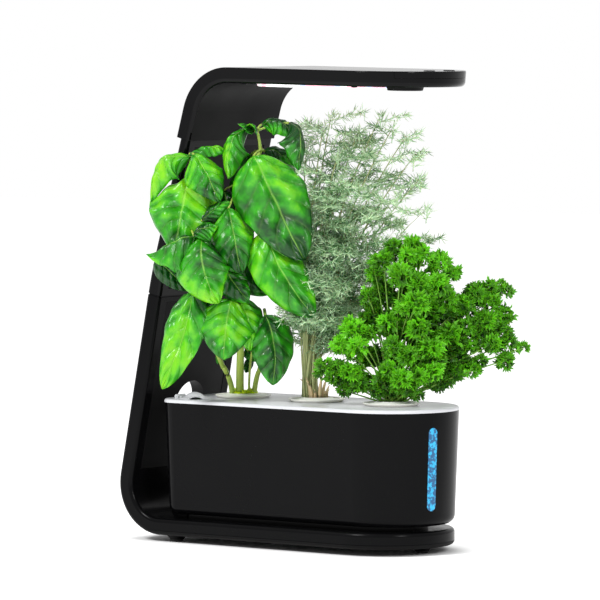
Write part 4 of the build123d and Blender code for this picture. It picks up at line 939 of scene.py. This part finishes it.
# %% Floor, world and lamps
FLOOR_HALF, FLOOR_LEVEL = 6.0, -0.0003
SHADOW_REACH = 0.03
GLOSSY_SHARE, FILL_STRENGTH = 0.75, 0.5
floor_mesh = bmesh.new()
bmesh.ops.create_grid(floor_mesh, x_segments=2, y_segments=2, size=FLOOR_HALF)
floor_data = bpy.data.meshes.new("white_sweep")
floor_mesh.to_mesh(floor_data)
floor_mesh.free()
white_floor, floor_tree, floor_shader = new_material(
    "matt_white_paper", Roughness=0.9, Specular_IOR_Level=0.0, Base_Color=linear("#ffffff"),
    Emission_Color=linear("#ffffff"),
)
open_sky = add_node(floor_tree, "AmbientOcclusion", inputs={"Distance": SHADOW_REACH})
# The glow fades close to the part, which paints a contact shadow round the foot.
glow_and_painted_shadow = ramp(floor_tree, open_sky.outputs["AO"], 0.55, 0.97, 0.0, 0.6)
floor_tree.links.new(glow_and_painted_shadow, floor_shader.inputs["Emission Strength"])
floor_data.materials.append(white_floor)
floor = add_object("white_sweep", floor_data)
floor.location.z = FLOOR_LEVEL

world = bpy.data.worlds.new("white_studio")
world.use_nodes = True
bpy.context.scene.world = world
sky = world.node_tree
sky.nodes.clear()
seen = add_node(sky, "LightPath").outputs
direct = maths(sky, "MAXIMUM", seen["Is Camera Ray"], seen["Is Transmission Ray"])
mirrored = maths(sky, "MULTIPLY", seen["Is Glossy Ray"], GLOSSY_SHARE)
shown = maths(sky, "MAXIMUM", direct, mirrored)
background = add_node(sky, "Background", inputs={
    "Color": linear("#ffffff"), "Strength": ramp(sky, shown, 0.0, 1.0, FILL_STRENGTH, 1.0),
})
add_node(sky, "OutputWorld", inputs={"Surface": background.outputs["Background"]})


def add_lamp(name, place, aim, size, power):
    """A large soft area lamp, placed and aimed in metres."""
    data = bpy.data.lights.new(name, "AREA")
    data.shape = "RECTANGLE"
    data.size, data.size_y = size
    data.energy = power
    lamp = add_object(name, data)
    lamp.location = place
    lamp.rotation_euler = (Vector(aim) - Vector(place)).to_track_quat("-Z", "Y").to_euler()
    print(name, "power", power)


PART_MIDDLE = (0.0, 0.0, 0.2)
add_lamp("high_left_softbox", (-0.5, -1.5, 1.7), PART_MIDDLE, (0.5, 0.5), 32)
add_lamp("right_strip", (1.7, -0.7, 1.1), PART_MIDDLE, (0.3, 0.7), 14)

# %% [markdown]
# ## The camera
#
# The view is from far away with a long lens, a little above the worktop and square to the plants'
# plane, so verticals stay upright and the hood's top shows only as a thin crescent.

# %% Camera
VIEW_TURN, VIEW_RISE = FAN_TURN, math.radians(3.155)
VIEW_DISTANCE = 4.6635
VIEW_AIM = Vector((0.00277, 0.0, 0.2073))
camera_data = bpy.data.cameras.new("view")
camera_data.lens = 330.0
camera_data.sensor_width = 36.0
camera_data.clip_end = 30.0
camera = add_object("view", camera_data)
level = math.cos(VIEW_RISE)
away = Vector((math.sin(VIEW_TURN) * level, -math.cos(VIEW_TURN) * level, math.sin(VIEW_RISE)))
camera.location = VIEW_AIM + away * VIEW_DISTANCE
camera.rotation_euler = (-away).to_track_quat("-Z", "Y").to_euler()
bpy.context.scene.camera = camera
bpy.context.scene.view_settings.view_transform = "Standard"
print("camera at", [round(v, 3) for v in camera.location])
